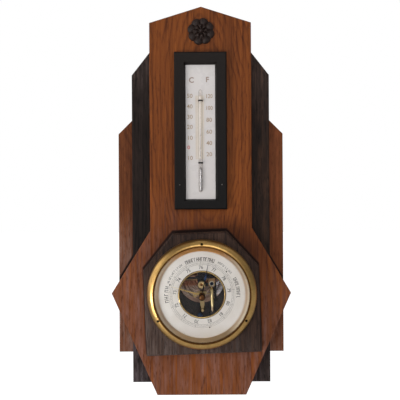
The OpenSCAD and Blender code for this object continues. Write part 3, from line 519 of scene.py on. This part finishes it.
def studio_world():
    world = bpy.data.worlds.new("studio")
    bpy.context.scene.world = world
    w = Shader(world, "ShaderNodeOutputWorld")
    ray = w.add("ShaderNodeLightPath").outputs
    seen = w.math("MAXIMUM", ray["Is Camera Ray"], ray["Is Transmission Ray"])
    direction = w.add("ShaderNodeTexCoord").outputs["Generated"]
    shine = ROOM
    for toward, begins, full, brightness in PALE_THINGS:
        both = {0: direction, 1: Vector(toward).normalized()}
        nearness = w.add("ShaderNodeVectorMath", both, operation="DOT_PRODUCT").outputs["Value"]
        edges = {0: nearness, 1: begins, 2: full, 3: 0.0, 4: brightness}
        pale = w.add("ShaderNodeMapRange", edges, interpolation_type="SMOOTHSTEP").outputs[0]
        shine = w.plus(shine, pale)
    room = w.mix(shine, (0.0, 0.0, 0.0, 1), MIRRORED_WHITE)
    mirrored = w.add("ShaderNodeBackground", {"Color": room}).outputs[0]
    plain = w.add("ShaderNodeBackground", {"Color": AMBIENT}).outputs[0]
    white = w.add("ShaderNodeBackground", {"Color": WHITE}).outputs[0]
    lit = w.add("ShaderNodeMixShader", {0: ray["Is Glossy Ray"], 1: plain, 2: mirrored}).outputs[0]
    w.done(w.add("ShaderNodeMixShader", {0: seen, 1: lit, 2: white}).outputs[0])


studio_world()

FLOOR_Z = -0.62
FLOOR_HALF = 9
corners = [(-1, -1), (1, -1), (1, 1), (-1, 1)]
floor_mesh = bpy.data.meshes.new("floor")
floor_mesh.from_pydata([(x * FLOOR_HALF, y * FLOOR_HALF, FLOOR_Z) for x, y in corners], [], [(0, 1, 2, 3)])
floor = bpy.data.objects.new("floor", floor_mesh)
bpy.context.scene.collection.objects.link(floor)


def pale_floor():
    """Matte with a glow that only the camera sees, and darker where metal mirrors it."""
    s = new_material("pale_floor")
    ray = s.add("ShaderNodeLightPath").outputs
    matte_color = s.mix(ray["Is Glossy Ray"], (0.82, 0.82, 0.82, 1), (0.52, 0.52, 0.52, 1))
    matte = s.add("ShaderNodeBsdfDiffuse", {"Color": matte_color}).outputs[0]
    glow_color = (0.62, 0.62, 0.62, 1)
    glow = s.add("ShaderNodeEmission", {"Color": glow_color, "Strength": ray["Is Camera Ray"]}).outputs[0]
    return s.done(s.add("ShaderNodeAddShader", {0: matte, 1: glow}).outputs[0])


floor_mesh.materials.append(pale_floor())

# Mesh helpers

WELD = 1e-7


def shade(mesh, sharp):
    """Smooth shading, with a sharp edge where two faces meet at more than so many degrees."""
    for polygon in mesh.polygons:
        polygon.use_smooth = True
    mesh.set_sharp_from_angle(angle=math.radians(sharp))


def add_piece(mesh, material, body, sharp=35):
    """A piece of the visual model, under its mesh's name."""
    mesh.materials.append(material)
    shade(mesh, sharp)
    piece = bpy.data.objects.new(mesh.name, mesh)
    bpy.context.scene.collection.objects.link(piece)
    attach(piece, body)
    return piece


def tidy(mesh):
    """Welds doubled points and turns the faces outwards."""
    work = bmesh.new()
    work.from_mesh(mesh)
    bmesh.ops.remove_doubles(work, verts=work.verts, dist=WELD)
    bmesh.ops.recalc_face_normals(work, faces=work.faces)
    work.to_mesh(mesh)
    work.free()


def lathe(name, profile, segments, matrix):
    """A turned mesh about the matrix's y axis, from closed (radius, depth) points in mm."""
    mesh = bpy.data.meshes.new(name)
    count = len(profile)
    points = []
    faces = []
    for step in range(segments):
        turn = 2 * math.pi * step / segments
        following = (step + 1) % segments
        for i, (radius, depth) in enumerate(profile):
            spot = Vector((radius * MM * math.sin(turn), depth * MM, radius * MM * math.cos(turn)))
            points.append(matrix @ spot)
            j = (i + 1) % count
            faces.append((step * count + i, following * count + i, following * count + j, step * count + j))
    mesh.from_pydata(points, [], faces)
    tidy(mesh)
    return mesh


def flat_shapes(name, outlines, depth, thickness, matrix):
    """Thin printed shapes: each outline is a list of (x, z) points in mm, drawn out from the depth towards
    the front."""
    work = bmesh.new()
    for outline in outlines:
        front, back = [
            [work.verts.new(matrix @ Vector((x * MM, y * MM, z * MM))) for x, z in outline]
            for y in (depth - thickness, depth)
        ]
        work.faces.new(front)
        work.faces.new(back[::-1])
        for i in range(len(outline)):
            j = (i + 1) % len(outline)
            work.faces.new((front[i], back[i], back[j], front[j]))
    bmesh.ops.recalc_face_normals(work, faces=work.faces)
    mesh = bpy.data.meshes.new(name)
    work.to_mesh(mesh)
    work.free()
    return mesh


# The built-in font's size for a figure that is 1 high
FONT_SIZE = 1.38


def lettering(name, labels, depth, thickness, matrix, bold=0.1):
    """One mesh of printed figures. Each label is (text, x, z, height, turn, width factor), with the turn in
    degrees clockwise and the rest in mm."""
    work = bmesh.new()
    for text, x, z, height, turn, width in labels:
        curve = bpy.data.curves.new("figure", "FONT")
        curve.body = text
        curve.align_x = "CENTER"
        curve.align_y = "CENTER"
        curve.size = height * MM * FONT_SIZE
        curve.extrude = thickness * MM / 2
        curve.offset = bold * MM
        curve.resolution_u = 3
        holder = bpy.data.objects.new("figure", curve)
        bpy.context.scene.collection.objects.link(holder)
        bpy.context.view_layer.update()
        figure = holder.evaluated_get(bpy.context.evaluated_depsgraph_get()).to_mesh().copy()
        spot = (
            matrix
            @ Matrix.Translation((x * MM, (depth - thickness / 2) * MM, z * MM))
            @ Matrix.Rotation(math.radians(turn), 4, "Y")
            @ Matrix.Rotation(math.radians(90), 4, "X")
            @ Matrix.Diagonal((width, 1, 1, 1))
        )
        figure.transform(spot)
        work.from_mesh(figure)
        bpy.data.objects.remove(holder)
        bpy.data.curves.remove(curve)
        bpy.data.meshes.remove(figure)
    mesh = bpy.data.meshes.new(name)
    work.to_mesh(mesh)
    work.free()
    return mesh


def around(radius, clockwise):
    """A point (x, z) on a circle around the dial's centre, by its clockwise angle from the top."""
    turn = math.radians(clockwise)
    return radius * math.sin(turn), radius * math.cos(turn)


def sector(inner, outer, first, last, steps=1):
    """The outline of a piece of ring between two clockwise angles."""
    angles = [first + (last - first) * i / steps for i in range(steps + 1)]
    return [around(outer, a) for a in angles] + [around(inner, a) for a in reversed(angles)]


# Wood and lacquer

LIGHT_OAK = oak(
    "stained_oak_front", rgb(133, 71, 26), rgb(80, 38, 13), rgb(50, 24, 13), 1.0,
    Rings(middle=4, depth=25, swell=18, height=-8, length=340, width=5.2),
    figure=0.62, streaks=0.6, pores=0.45, specular=0.14,
    # rubbed, dusty wood low on the left, with a painted sheen of the light from the lower left
    dust=[DustAndSheen(rgb(140, 100, 88), ends=-110, full=-215, lean=0.5, amount=0.66)],
    # painted shadow of the dial's block on the board above it
    block_shadow=BlockShadow(rgb(62, 28, 14), ends=98, full=72, amount=0.62),
    # painted shadow: a dark line on the board along the dial's block's top and sides
    stains_and_light=[StainAndPaintedLight("block", 3.3, 1.7, rgb(34, 16, 9))],
)
BACK_OAK = oak(
    "stained_oak_back", rgb(112, 62, 32), rgb(68, 34, 17), rgb(44, 24, 15), 5.0,
    Rings(middle=-60, depth=30, swell=14, height=60, length=300, width=4.6),
    figure=0.5, streaks=0.65, pores=0.5, specular=0.12,
    dust=[
        # rubbed, dusty wood low down, with a painted sheen of the light from the lower left
        DustAndSheen(rgb(142, 112, 100), ends=-165, full=-222, lean=0.62, amount=0.8),
        DustAndSheen(rgb(146, 80, 46), ends=300, full=760, lean=10.0, amount=0.5),
    ],
    # painted shadow: a dark line on the back board beside the front board's upper sloping edges
    stains_and_light=[StainAndPaintedLight("flare", 3.4, 2.0, rgb(30, 15, 9))],
)
DARK_OAK = oak(
    "dark_oak_board", rgb(40, 30, 26), rgb(15, 11, 10), rgb(9, 7, 7), 9.0,
    Rings(middle=15, depth=40, swell=20, height=20, length=260, width=4.0),
    figure=0.35, streaks=0.8, pores=0.6, specular=0.12,
    dust=[
        DustAndSheen(rgb(94, 83, 85), ends=-200, full=-285, lean=0.3, amount=0.82),
        DustAndSheen(rgb(82, 68, 64), ends=-10, full=45, lean=0.0, amount=0.75),
        DustAndSheen(rgb(74, 50, 36), ends=250, full=520, lean=10.0, amount=0.6),
    ],
)
BLOCK_OAK = oak(
    "dark_oak_block", rgb(70, 50, 40), rgb(28, 19, 17), rgb(17, 11, 10), 14.0,
    Rings(middle=-20, depth=30, swell=10, height=-200, length=200, width=3.4),
    figure=0.4, streaks=0.85, pores=0.7, specular=0.16,
    # rubbed, dusty wood low on the left, with a painted sheen of the light from the lower left
    dust=[DustAndSheen(rgb(118, 102, 96), ends=-215, full=-270, lean=0.6, amount=0.7)],
    # painted shade: the block's side walls, behind its front edges, darkened
    stains_and_light=[StainAndPaintedLight("depth", 6.4, 7.4, rgb(16, 9, 7))],
)
CARVED = oak(
    "carved_oak", rgb(52, 35, 29), rgb(26, 17, 15), rgb(14, 9, 8), 21.0,
    Rings(middle=0, depth=30, swell=5, height=90, length=200, width=3.0),
    streaks=0.3, specular=0.3,
)
# painted shade: darker towards the bottom
FRAME_BLACK = painted_wood("black_lacquer", rgb(24, 18, 15), rgb(37, 29, 24), 3.0, shade_heights=(-150, 60))
BLACK_PLATE = painted_wood("black_japan", rgb(78, 74, 73), rgb(112, 102, 96), 6.0, rough=0.3)
BLACK_CAST = painted_wood("black_iron", rgb(30, 29, 30), rgb(48, 46, 44), 7.0, rough=0.35)

# Brass

BEZEL_BRASS = metal(
    "bezel_brass", rgb(236, 192, 118), rgb(152, 112, 68), rough=0.27, tarnish=0.6, seed=2.0, turned=True,
    # painted shade: a dark line along the inner edge, in the shade of the lip
    stains_and_light=[StainAndPaintedLight("radius", 55.2, 54.3, rgb(104, 66, 30))],
)
SIGHT_BRASS = metal(
    "sight_ring_brass", rgb(255, 242, 222), rgb(230, 200, 166),
    rough=0.3, tarnish=0.3, seed=4.0, turned=True, brushed=0.03,
    stains_and_light=[
        # painted shade over the inner band
        StainAndPaintedLight("radius", 51.2, 50.2, rgb(232, 208, 184)),
        # painted light: a warm tone at the bottom
        StainAndPaintedLight("height", -32.0, -46.0, rgb(244, 210, 164)),
        # painted shade: a darker brown at the top
        StainAndPaintedLight("height", 34.0, 47.0, rgb(236, 174, 104)),
        # painted shadow of the bezel's lip along the outer edge
        StainAndPaintedLight("radius", 52.5, 53.1, rgb(150, 108, 62)),
    ],
)
RIM_BRASS = metal(
    "rim_brass", rgb(240, 208, 142), rgb(164, 124, 72), rough=0.24, tarnish=0.6, seed=6.0, turned=True,
    # painted shade on the bead's outer and inner edges, leaving it bright only in the middle
    stains_and_light=[StainAndPaintedLight("radius", 26.0, 26.5, rgb(104, 84, 56)), StainAndPaintedLight("radius", 25.5, 25.1, rgb(112, 86, 52))],
)
# painted light: a paler brass than the movement's, to stand bright in the shade inside the opening
BOSS_BRASS = metal("boss_brass", rgb(246, 218, 160), rgb(204, 164, 104), rough=0.4, tarnish=0.5, seed=17.0)
SHAFT_BRASS = metal(
    "shaft_brass", rgb(246, 226, 170), rgb(206, 180, 122), rough=0.46, tarnish=0.4, seed=18.0,
    stains_and_light=[
        StainAndPaintedLight("height", 3.6, 5.2, rgb(168, 136, 84)),
        StainAndPaintedLight("height", -13.0, -16.5, rgb(168, 146, 122)),
        # painted shade: darkened to the right of the rod, where its arm lies in shadow
        StainAndPaintedLight("side", 12.4, 13.2, rgb(40, 36, 32)),
    ],
)
WASHER_BRASS = metal(
    "washer_brass", rgb(206, 198, 178), rgb(150, 136, 110), rough=0.42, tarnish=0.8, seed=26.0,
)
SHADED_BRASS = metal("shaded_brass", rgb(92, 76, 54), rgb(44, 36, 28), rough=0.45, tarnish=0.7, seed=19.0)
HAND_BRASS = metal(
    "hand_brass", rgb(244, 208, 134), rgb(136, 108, 64), rough=0.34, tarnish=0.9, seed=23.0,
    stains_and_light=[StainAndPaintedLight("radius", 26.2, 27.6, rgb(250, 240, 222))],
)
COCK_BRASS = metal(
    "cock_brass", rgb(196, 172, 126), rgb(132, 110, 76), rough=0.4, tarnish=0.6, seed=20.0,
    stains_and_light=[StainAndPaintedLight("height", -15.5, -17.0, rgb(48, 40, 30))],
)
MOVEMENT_BRASS = metal(
    "movement_brass", rgb(214, 186, 120), rgb(140, 104, 58), rough=0.3, tarnish=0.6, seed=7.0,
)
CASE_BRASS = metal(
    "case_brass", rgb(176, 142, 84), rgb(96, 72, 42), rough=0.4, tarnish=0.8, seed=8.0, turned=True,
)
TAN_BRASS = metal("lacquered_brass", rgb(176, 140, 100), rgb(112, 82, 58), rough=0.42, tarnish=0.7, seed=9.0)

# Other metals

COPPER_SKIN = corrugated_skin("capsule_skin")
RIVET_COPPER = metal("rivet_copper", rgb(150, 102, 62), rgb(84, 56, 34), rough=0.4, tarnish=0.6, seed=25.0)
STEEL = metal("worn_steel", rgb(176, 174, 170), rgb(104, 98, 90), rough=0.34, tarnish=0.7, seed=11.0)
BLUED = metal("blued_steel", rgb(126, 154, 200), rgb(56, 72, 108), rough=0.3, tarnish=0.5, seed=12.0)
DARK_BLUED = metal("dark_blued_steel", rgb(44, 52, 76), rgb(18, 20, 30), rough=0.3, tarnish=0.6, seed=22.0)
POINTER_BLUE = metal(
    "blued_pointer", rgb(66, 84, 122), rgb(48, 60, 92), rough=0.3, tarnish=0.6, seed=13.0,
    stains_and_light=[
        StainAndPaintedLight("radius", 17.5, 16.0, rgb(26, 25, 28)),
        StainAndPaintedLight("radius", 22.5, 24.0, rgb(60, 58, 66)),
        StainAndPaintedLight("radius", 27.0, 30.0, rgb(112, 108, 112)),
    ],
)
DULL_PIN = metal("dull_pin", rgb(112, 108, 104), rgb(60, 56, 52), rough=0.5, tarnish=0.7, seed=24.0)
DARK_SCREW = metal("dark_screw", rgb(70, 54, 34), rgb(24, 18, 12), rough=0.45, tarnish=0.9, seed=14.0)
BRIDGE_IRON = metal(
    "bridge_iron", rgb(62, 58, 60), rgb(36, 33, 34), rough=0.42, tarnish=0.6, seed=27.0,
    # painted reflection: a warm brown band along the bridge's top on the left, kept dark from near the
    # middle rightwards
    stains_and_light=[StainAndPaintedLight("height", 19.2, 20.4, rgb(216, 166, 142)), StainAndPaintedLight("side", -5.2, -3.8, rgb(50, 46, 48))],
)
MERCURY = metal("mercury", rgb(240, 240, 244), rgb(200, 200, 206), rough=0.25, tarnish=0.3, seed=15.0)
KNOB = metal(
    "knob_bronze", rgb(122, 82, 52), rgb(48, 31, 20), rough=0.36, tarnish=0.8, seed=16.0, turned=True,
    # painted shade: the knob's rim darkened round its brown middle
    stains_and_light=[StainAndPaintedLight("radius", 2.3, 3.5, rgb(22, 14, 9))],
)

# Enamel, glass and printing

DIAL_WHITE = enamel(
    "dial_enamel", rgb(226, 221, 215), rgb(196, 184, 166), 2.0, amount=0.3,
    stains_and_light=[
        # painted light: lighter on the left, towards the lamp
        StainAndPaintedLight("side", -20, -42, rgb(244, 239, 232)),
        # painted shade: darker towards the bottom
        StainAndPaintedLight("height", -34, -48, rgb(208, 199, 189)),
        # painted shadow of the sight ring along the dial's edge
        StainAndPaintedLight("radius", 47.0, 48.8, rgb(204, 194, 182)),
    ],
)
SCALE_WHITE = enamel("opal_glass", rgb(203, 198, 196), rgb(194, 186, 174), 5.0, rough=0.22, amount=0.25)
CREAM = enamel("cream_strip", rgb(206, 197, 186), rgb(198, 184, 166), 9.0)
PALE_LINE = enamel("pale_line", rgb(232, 228, 224), rgb(224, 218, 210), 10.0)
CLEAR_GLASS = window_glass("clear_glass", WHITE, (0.85, 0.9, 0.88, 1), gloss=0.35, narrow=3.0)
TUBE_GLASS = window_glass(
    "tube_glass", (1.0, 0.99, 0.98, 1), (0.24, 0.2, 0.18, 1), gloss=0.12, narrow=2.2, seed=4.0,
)
DARK_INK = ink("dark_print", rgb(52, 46, 42), rgb(112, 104, 96))
FAINT_INK = ink("gilt_print", rgb(150, 124, 98), rgb(184, 166, 146), 3.0)
GREY_INK = ink("grey_print", rgb(92, 90, 86), rgb(148, 143, 136), 5.0)
TICK_INK = ink("tick_print", rgb(104, 98, 90), rgb(160, 152, 142), 6.0)
BROWN_INK = ink("brown_print", rgb(132, 108, 96), rgb(168, 150, 138), 11.0)
RED_INK = ink("red_print", rgb(188, 74, 70), rgb(204, 122, 112), 7.0)

finishes = {
    "back_board": BACK_OAK, "middle_board": DARK_OAK, "front_board": LIGHT_OAK, "board_screws": STEEL,
    "hanger_plate": CASE_BRASS, "hanger_screws": STEEL, "dial_block": BLOCK_OAK, "rosette": CARVED,
    "thermometer_frame": FRAME_BLACK, "frame_pins": DULL_PIN, "scale_plate": SCALE_WHITE,
    "thermometer_tube": TUBE_GLASS, "mercury": MERCURY, "tube_clips": BLACK_CAST,
    "case": CASE_BRASS, "case_screws": CASE_BRASS, "bezel": BEZEL_BRASS, "bezel_screws": DARK_SCREW,
    "dial_glass": CLEAR_GLASS, "sight_ring": SIGHT_BRASS, "dial": DIAL_WHITE, "opening_rim": RIM_BRASS,
    "dial_pillars": MOVEMENT_BRASS, "dial_pins": DARK_SCREW, "base_plate": BLACK_PLATE,
    "base_spacers": MOVEMENT_BRASS, "base_screws": BLUED, "front_diaphragm": COPPER_SKIN,
    "rear_diaphragm": COPPER_SKIN, "adjusting_screw": MOVEMENT_BRASS, "capsule_post": MOVEMENT_BRASS,
    "bridge": BRIDGE_IRON, "bridge_screws": DARK_BLUED, "spring_clamp": TAN_BRASS,
    "clamp_screws": BLACK_CAST, "mainspring": BLACK_CAST, "main_lever": BLACK_CAST,
    "lever_boss": BOSS_BRASS, "link": BLACK_CAST, "rocking_shaft": SHAFT_BRASS, "pivot_lug": TAN_BRASS,
    "lug_washer": WASHER_BRASS, "lug_screw": DARK_BLUED, "pivot_post": BLACK_PLATE,
    "chain": MOVEMENT_BRASS, "arbor": MOVEMENT_BRASS, "arbor_cock": COCK_BRASS,
    "cock_pillar": SHADED_BRASS, "rear_cock": SHADED_BRASS, "cock_screw": BOSS_BRASS,
    "hairspring": DARK_BLUED, "hairspring_stud": MOVEMENT_BRASS, "pointer": POINTER_BLUE,
    "set_hand": HAND_BRASS, "set_spindle": KNOB, "set_washer": RIM_BRASS,
}

# Where two faces of a CAD piece meet at more than so many degrees, the edge stays sharp
CAD_SHARP = 32
for name, material in finishes.items():
    mesh = nodes[name].data
    mesh.materials.clear()
    mesh.materials.append(material)
    shade(mesh, CAD_SHARP)

# The leaf spring and the chain, copied and cut across where they bend between the frame and the body that
# they pull on


def bending(node, start, end, cuts):
    """A copy of a CAD piece, cut across at even steps between two points in mm, in place of the CAD piece."""
    start, end = Vector(start) * MM, Vector(end) * MM
    work = bmesh.new()
    work.from_mesh(nodes[node].data)
    for cut in range(cuts + 1):
        bmesh.ops.bisect_plane(
            work, geom=work.verts[:] + work.edges[:] + work.faces[:], dist=WELD,
            plane_co=start.lerp(end, cut / cuts), plane_no=(end - start).normalized(),
        )
    mesh = bpy.data.meshes.new("bending_" + node)
    work.to_mesh(mesh)
    work.free()
    mesh.materials.append(finishes[node])
    shade(mesh, CAD_SHARP)
    piece = bpy.data.objects.new("bending_" + node, mesh)
    bpy.context.scene.collection.objects.link(piece)
    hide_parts(node)
    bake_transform(piece)


# The leaf bends in a narrow band about its lever's axis, and the chain between the drum and the crank, in mm
LEAF_Y, BAND_HALF = -39.5, 1
lever_z = joints["lever_swing"]["pos_m"][2] / MM
above_axis, below_axis = (0, LEAF_Y, lever_z + BAND_HALF), (0, LEAF_Y, lever_z - BAND_HALF)
bending("mainspring", above_axis, below_axis, 6)
CHAIN_Y, CHAIN_Z = -37, -206
beside_drum, beside_crank = (1.5, CHAIN_Y, CHAIN_Z), (11.2, CHAIN_Y, CHAIN_Z)
bending("chain", beside_drum, beside_crank, 10)

# A copper rivet in the middle of the boss

boss_low, boss_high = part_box("lever_boss")
boss_x, boss_z = (boss_low[0] + boss_high[0]) / 2, (boss_low[2] + boss_high[2]) / 2
boss_face = Matrix.Translation((boss_x, boss_low[1], boss_z))
RIVET = [(0.0, -0.35), (0.8, -0.3), (1.3, -0.12), (1.5, 0.05), (0.0, 0.05)]
add_piece(lathe("boss_rivet", RIVET, 48, boss_face), RIVET_COPPER, "main_lever")

# The rosette, carved: eight outer petals, eight inner ones between them and a bud

rosette_low, rosette_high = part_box("rosette")
ROSETTE_R = (rosette_high[2] - rosette_low[2]) / 2
ROSETTE_T = rosette_high[1] - rosette_low[1]
ROSETTE_TURN = math.radians(15)
PETALS = 8
# The bud's radius and height, and how far the outline is cut in between the petals, as shares
BUD_R, BUD_TOP = 0.2, 0.95
NOTCH = 0.13


def petal(turn, shift):
    """How far a direction is from the furrows between petals: 0 in a furrow, 1 in the middle of a petal."""
    return abs(math.cos(PETALS / 2 * (turn - ROSETTE_TURN) + shift))


def ridge(share, start, width):
    """A ring that rises from 0 at its start to 1 in its middle and falls to 0 again."""
    return math.sin(math.pi * min(max((share - start) / width, 0.0), 1.0))


def carving(share, turn):
    """The rosette's height at a share of its radius, from 0 to 1."""
    outer = petal(turn, 0.0) ** 0.6
    inner = petal(turn, math.pi / 2) ** 0.6
    height = 0.1 + 0.42 * outer * ridge(share, 0.42, 0.6) ** 0.7
    height = max(height, (0.22 + 0.48 * inner) * ridge(share, 0.1, 0.52) ** 0.8)
    return max(height, BUD_TOP * math.sqrt(max(0.0, 1 - (share / BUD_R) ** 2)))


def carved_rosette(rings=34, segments=256):
    middle_x, middle_z = (rosette_low[0] + rosette_high[0]) / 2, (rosette_low[2] + rosette_high[2]) / 2
    centre = Vector((middle_x, rosette_high[1], middle_z))
    points = [centre + Vector((0, -BUD_TOP * ROSETTE_T, 0))]
    for ring in range(1, rings + 1):
        share = ring / rings
        for step in range(segments):
            turn = 2 * math.pi * step / segments
            radius = ROSETTE_R * share * (1 - NOTCH * share * (1 - petal(turn, 0.0) ** 0.7))
            depth = ROSETTE_T * (carving(share, turn) if ring < rings else 0.0)
            points.append(centre + Vector((radius * math.sin(turn), -depth, radius * math.cos(turn))))
    faces = [(0, 1 + (step + 1) % segments, 1 + step) for step in range(segments)]
    for ring in range(rings - 1):
        inside = 1 + ring * segments
        outside = inside + segments
        for step in range(segments):
            following = (step + 1) % segments
            faces.append((inside + step, inside + following, outside + following, outside + step))
    faces.append([1 + (rings - 1) * segments + step for step in range(segments)])
    mesh = bpy.data.meshes.new("carved_rosette")
    mesh.from_pydata(points, [], faces)
    tidy(mesh)
    return mesh


rosette = add_piece(carved_rosette(), CARVED, "frame", sharp=50)
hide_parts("rosette")

# Printing on the dial, in mm

# The depth at which printing begins, a hair in front of the face, and how thick it is
FACE = -0.02
INK_T = 0.03
NUMBERS = range(70, 83)
NUMBER_AT_TOP = 76
NUMBER_STEP = 360 / len(NUMBERS)
NUMBER_R, NUMBER_HEIGHT, NUMBER_WIDTH = 30.4, 3.9, 0.9
numbers = []
for value in NUMBERS:
    angle = (value - NUMBER_AT_TOP) * NUMBER_STEP
    numbers.append((str(value), *around(NUMBER_R, angle), NUMBER_HEIGHT, angle, NUMBER_WIDTH))
add_piece(lettering("dial_numbers", numbers, FACE, INK_T, IN_DIAL), GREY_INK, "frame")

TICK_IN, TICK_OUT = 33.6, 37.0
TICKS_EACH = 10
# How much shorter than a number's own tick the one halfway to the next number and the others are
HALFWAY_SHORT, OTHERS_SHORT = 0.8, 1.5
# Half the width of a number's own tick, and of the other ticks and the rings
NUMBER_TICK, OTHER_TICK = 0.16, 0.1
RING_PARTS = 26
ticks = []
for i in range(len(NUMBERS) * TICKS_EACH):
    angle = i * NUMBER_STEP / TICKS_EACH
    at_number = i % TICKS_EACH == 0
    half = math.degrees((NUMBER_TICK if at_number else OTHER_TICK) / TICK_IN)
    short = 0 if at_number else HALFWAY_SHORT if i % 5 == 0 else OTHERS_SHORT
    ticks.append(sector(TICK_IN, TICK_OUT - short, angle - half, angle + half))
for radius in (TICK_IN, TICK_OUT - OTHERS_SHORT, TICK_OUT):
    for i in range(RING_PARTS):
        first, last = 360 * i / RING_PARTS, 360 * (i + 1) / RING_PARTS
        ticks.append(sector(radius - OTHER_TICK, radius + OTHER_TICK, first, last, 5))
add_piece(flat_shapes("dial_ticks", ticks, FACE, INK_T, IN_DIAL), TICK_INK, "frame")

# Half the distance between a sign's two strokes, as a share of the signs' pitch
SIGN_HALF = 0.32


def stroke_band(inner, height, first, last, pitch, stroke, seed):
    """Plain signs of upright strokes and a bar, in a word's place, between two clockwise angles."""
    chance = random.Random(seed)
    per_mm = math.degrees(1 / (inner + height / 2))
    count = int((last - first) / (pitch * per_mm))
    reach = pitch * SIGN_HALF
    outlines = []
    for i in range(count + 1):
        angle = first + (last - first) * i / count
        left, right = angle - reach * per_mm, angle + reach * per_mm
        half = stroke / 2 * per_mm
        outlines.append(sector(inner, inner + height, left - half, left + half))
        kind = chance.choice(["pair", "pair", "low", "top"])
        share = chance.choice([0.0, 0.4, 0.8])
        if kind == "pair":
            outlines.append(sector(inner, inner + height, right - half, right + half))
        bar = {"pair": inner + height * share, "low": inner, "top": inner + height - stroke}[kind]
        outlines.append(sector(bar, bar + stroke, left + half, right - half))
    return outlines


bold_bands = stroke_band(37.6, 4.3, first=-24, last=21, pitch=2.6, stroke=0.6, seed=1)
bold_bands += stroke_band(38.6, 4.2, first=66.5, last=96.5, pitch=2.5, stroke=0.55, seed=2)
bold_bands += stroke_band(37.9, 4.2, first=-99, last=-76.5, pitch=3.2, stroke=0.6, seed=3)
bold_mesh = flat_shapes("dial_bold_bands", bold_bands, FACE, INK_T, IN_DIAL)
add_piece(bold_mesh, DARK_INK, "frame")

faint_bands = stroke_band(39.0, 2.5, first=30, last=39, pitch=2.0, stroke=0.42, seed=4)
faint_bands += stroke_band(39.0, 2.5, first=44, last=55, pitch=2.0, stroke=0.42, seed=5)
faint_bands += stroke_band(38.8, 2.5, first=-68, last=-47, pitch=2.0, stroke=0.42, seed=6)
faint_bands += stroke_band(38.8, 2.5, first=-43, last=-33, pitch=2.0, stroke=0.42, seed=7)
faint_mesh = flat_shapes("dial_faint_bands", faint_bands, FACE, INK_T, IN_DIAL)
add_piece(faint_mesh, GREY_INK, "frame")

# Printing on the thermometer's plate, where the photograph shows it

# The plate's face, in metres, and how many mm a pixel of the photograph is there
PLATE_Y = -0.030
PLATE_MM = PHOTO_MM * (1 - (FACE_Y - PLATE_Y) / DISTANCE)
TO_PLATE = Matrix.Translation((0, PLATE_Y, 0))
# The pixel column over x = 0, and the pixel row at the camera's height
MIDDLE_PX, LEVEL_PX = 200.75, 200


def plate_point(right, down):
    """A point of the scale plate, in mm, from its pixel in the photograph."""
    return (right - MIDDLE_PX) * PLATE_MM, (LEVEL_PX - down) * PLATE_MM + CENTRE_Z / MM


# The pixel column of each scale, and the pixel row of each of its numbers
CELSIUS_PX, FAHRENHEIT_PX = 190.1, 209.4
CELSIUS = [("50", 96.0), ("40", 106.6), ("30", 117.0), ("20", 127.1), ("10", 138.0), ("10", 158.1)]
FAHRENHEIT = [("120", 96.4), ("100", 108.2), ("80", 120.1), ("60", 132.0), ("40", 143.3), ("20", 154.5)]
SCALE_HEIGHT, SCALE_WIDTH, THREE_FIGURES_WIDTH = 4.8, 1.02, 0.84
labels = []
for column, scale in ((CELSIUS_PX, CELSIUS), (FAHRENHEIT_PX, FAHRENHEIT)):
    for text, row in scale:
        width = THREE_FIGURES_WIDTH if len(text) == 3 else SCALE_WIDTH
        labels.append((text, *plate_point(column, row), SCALE_HEIGHT, 0, width))
add_piece(lettering("scale_numbers", labels, FACE, INK_T, TO_PLATE), FAINT_INK, "frame")

ZERO_PX, C_PX, F_PX = (188.8, 147.5), (191.8, 80.3), (207.7, 79.9)
zero = [("0", *plate_point(*ZERO_PX), 4.2, 0, 1.1)]
add_piece(lettering("scale_zero", zero, FACE, INK_T, TO_PLATE), RED_INK, "frame")
letters = [("C", *plate_point(*C_PX), 6.4, 0, 0.95), ("F", *plate_point(*F_PX), 6.2, 0, 0.95)]
letters_mesh = lettering("scale_letters", letters, FACE, INK_T, TO_PLATE, bold=0.2)
add_piece(letters_mesh, BROWN_INK, "frame")

# The cream strip behind the tube, the pale channel in its middle and the marks along its left edge

STRIP_TOP_PX, STRIP_FOOT_PX = (200.1, 96.4), (200.1, 158.4)
STRIP_W, STRIP_OVER, STRIP_T = 10, 1, 0.02
CHANNEL_HALF = 1.1
MARKS, MARK_HALF = 60, 0.07
# How far every tenth mark, every fifth and the others reach in from the strip's edge
TENTH, FIFTH, OTHER = 2.2, 1.6, 1.1
strip_x, strip_top = plate_point(*STRIP_TOP_PX)
strip_low = plate_point(*STRIP_FOOT_PX)[1]
strip_left, strip_right = strip_x - STRIP_W / 2, strip_x + STRIP_W / 2


def upright_box(left, right, low, high):
    return [(left, low), (right, low), (right, high), (left, high)]


strip = upright_box(strip_left, strip_right, strip_low - STRIP_OVER, strip_top + STRIP_OVER)
add_piece(flat_shapes("scale_strip", [strip], FACE, STRIP_T, TO_PLATE), CREAM, "frame")
channel = upright_box(strip_x - CHANNEL_HALF, strip_x + CHANNEL_HALF, strip_low, strip_top)
channel_mesh = flat_shapes("scale_channel", [channel], FACE - STRIP_T, STRIP_T, TO_PLATE)
add_piece(channel_mesh, PALE_LINE, "frame")
marks = []
for i in range(MARKS + 1):
    height = strip_low + (strip_top - strip_low) * i / MARKS
    reach = TENTH if i % 10 == 0 else FIFTH if i % 5 == 0 else OTHER
    marks.append(upright_box(strip_left, strip_left + reach, height - MARK_HALF, height + MARK_HALF))
marks_mesh = flat_shapes("scale_marks", marks, FACE - INK_T, INK_T, TO_PLATE)
add_piece(marks_mesh, FAINT_INK, "frame")
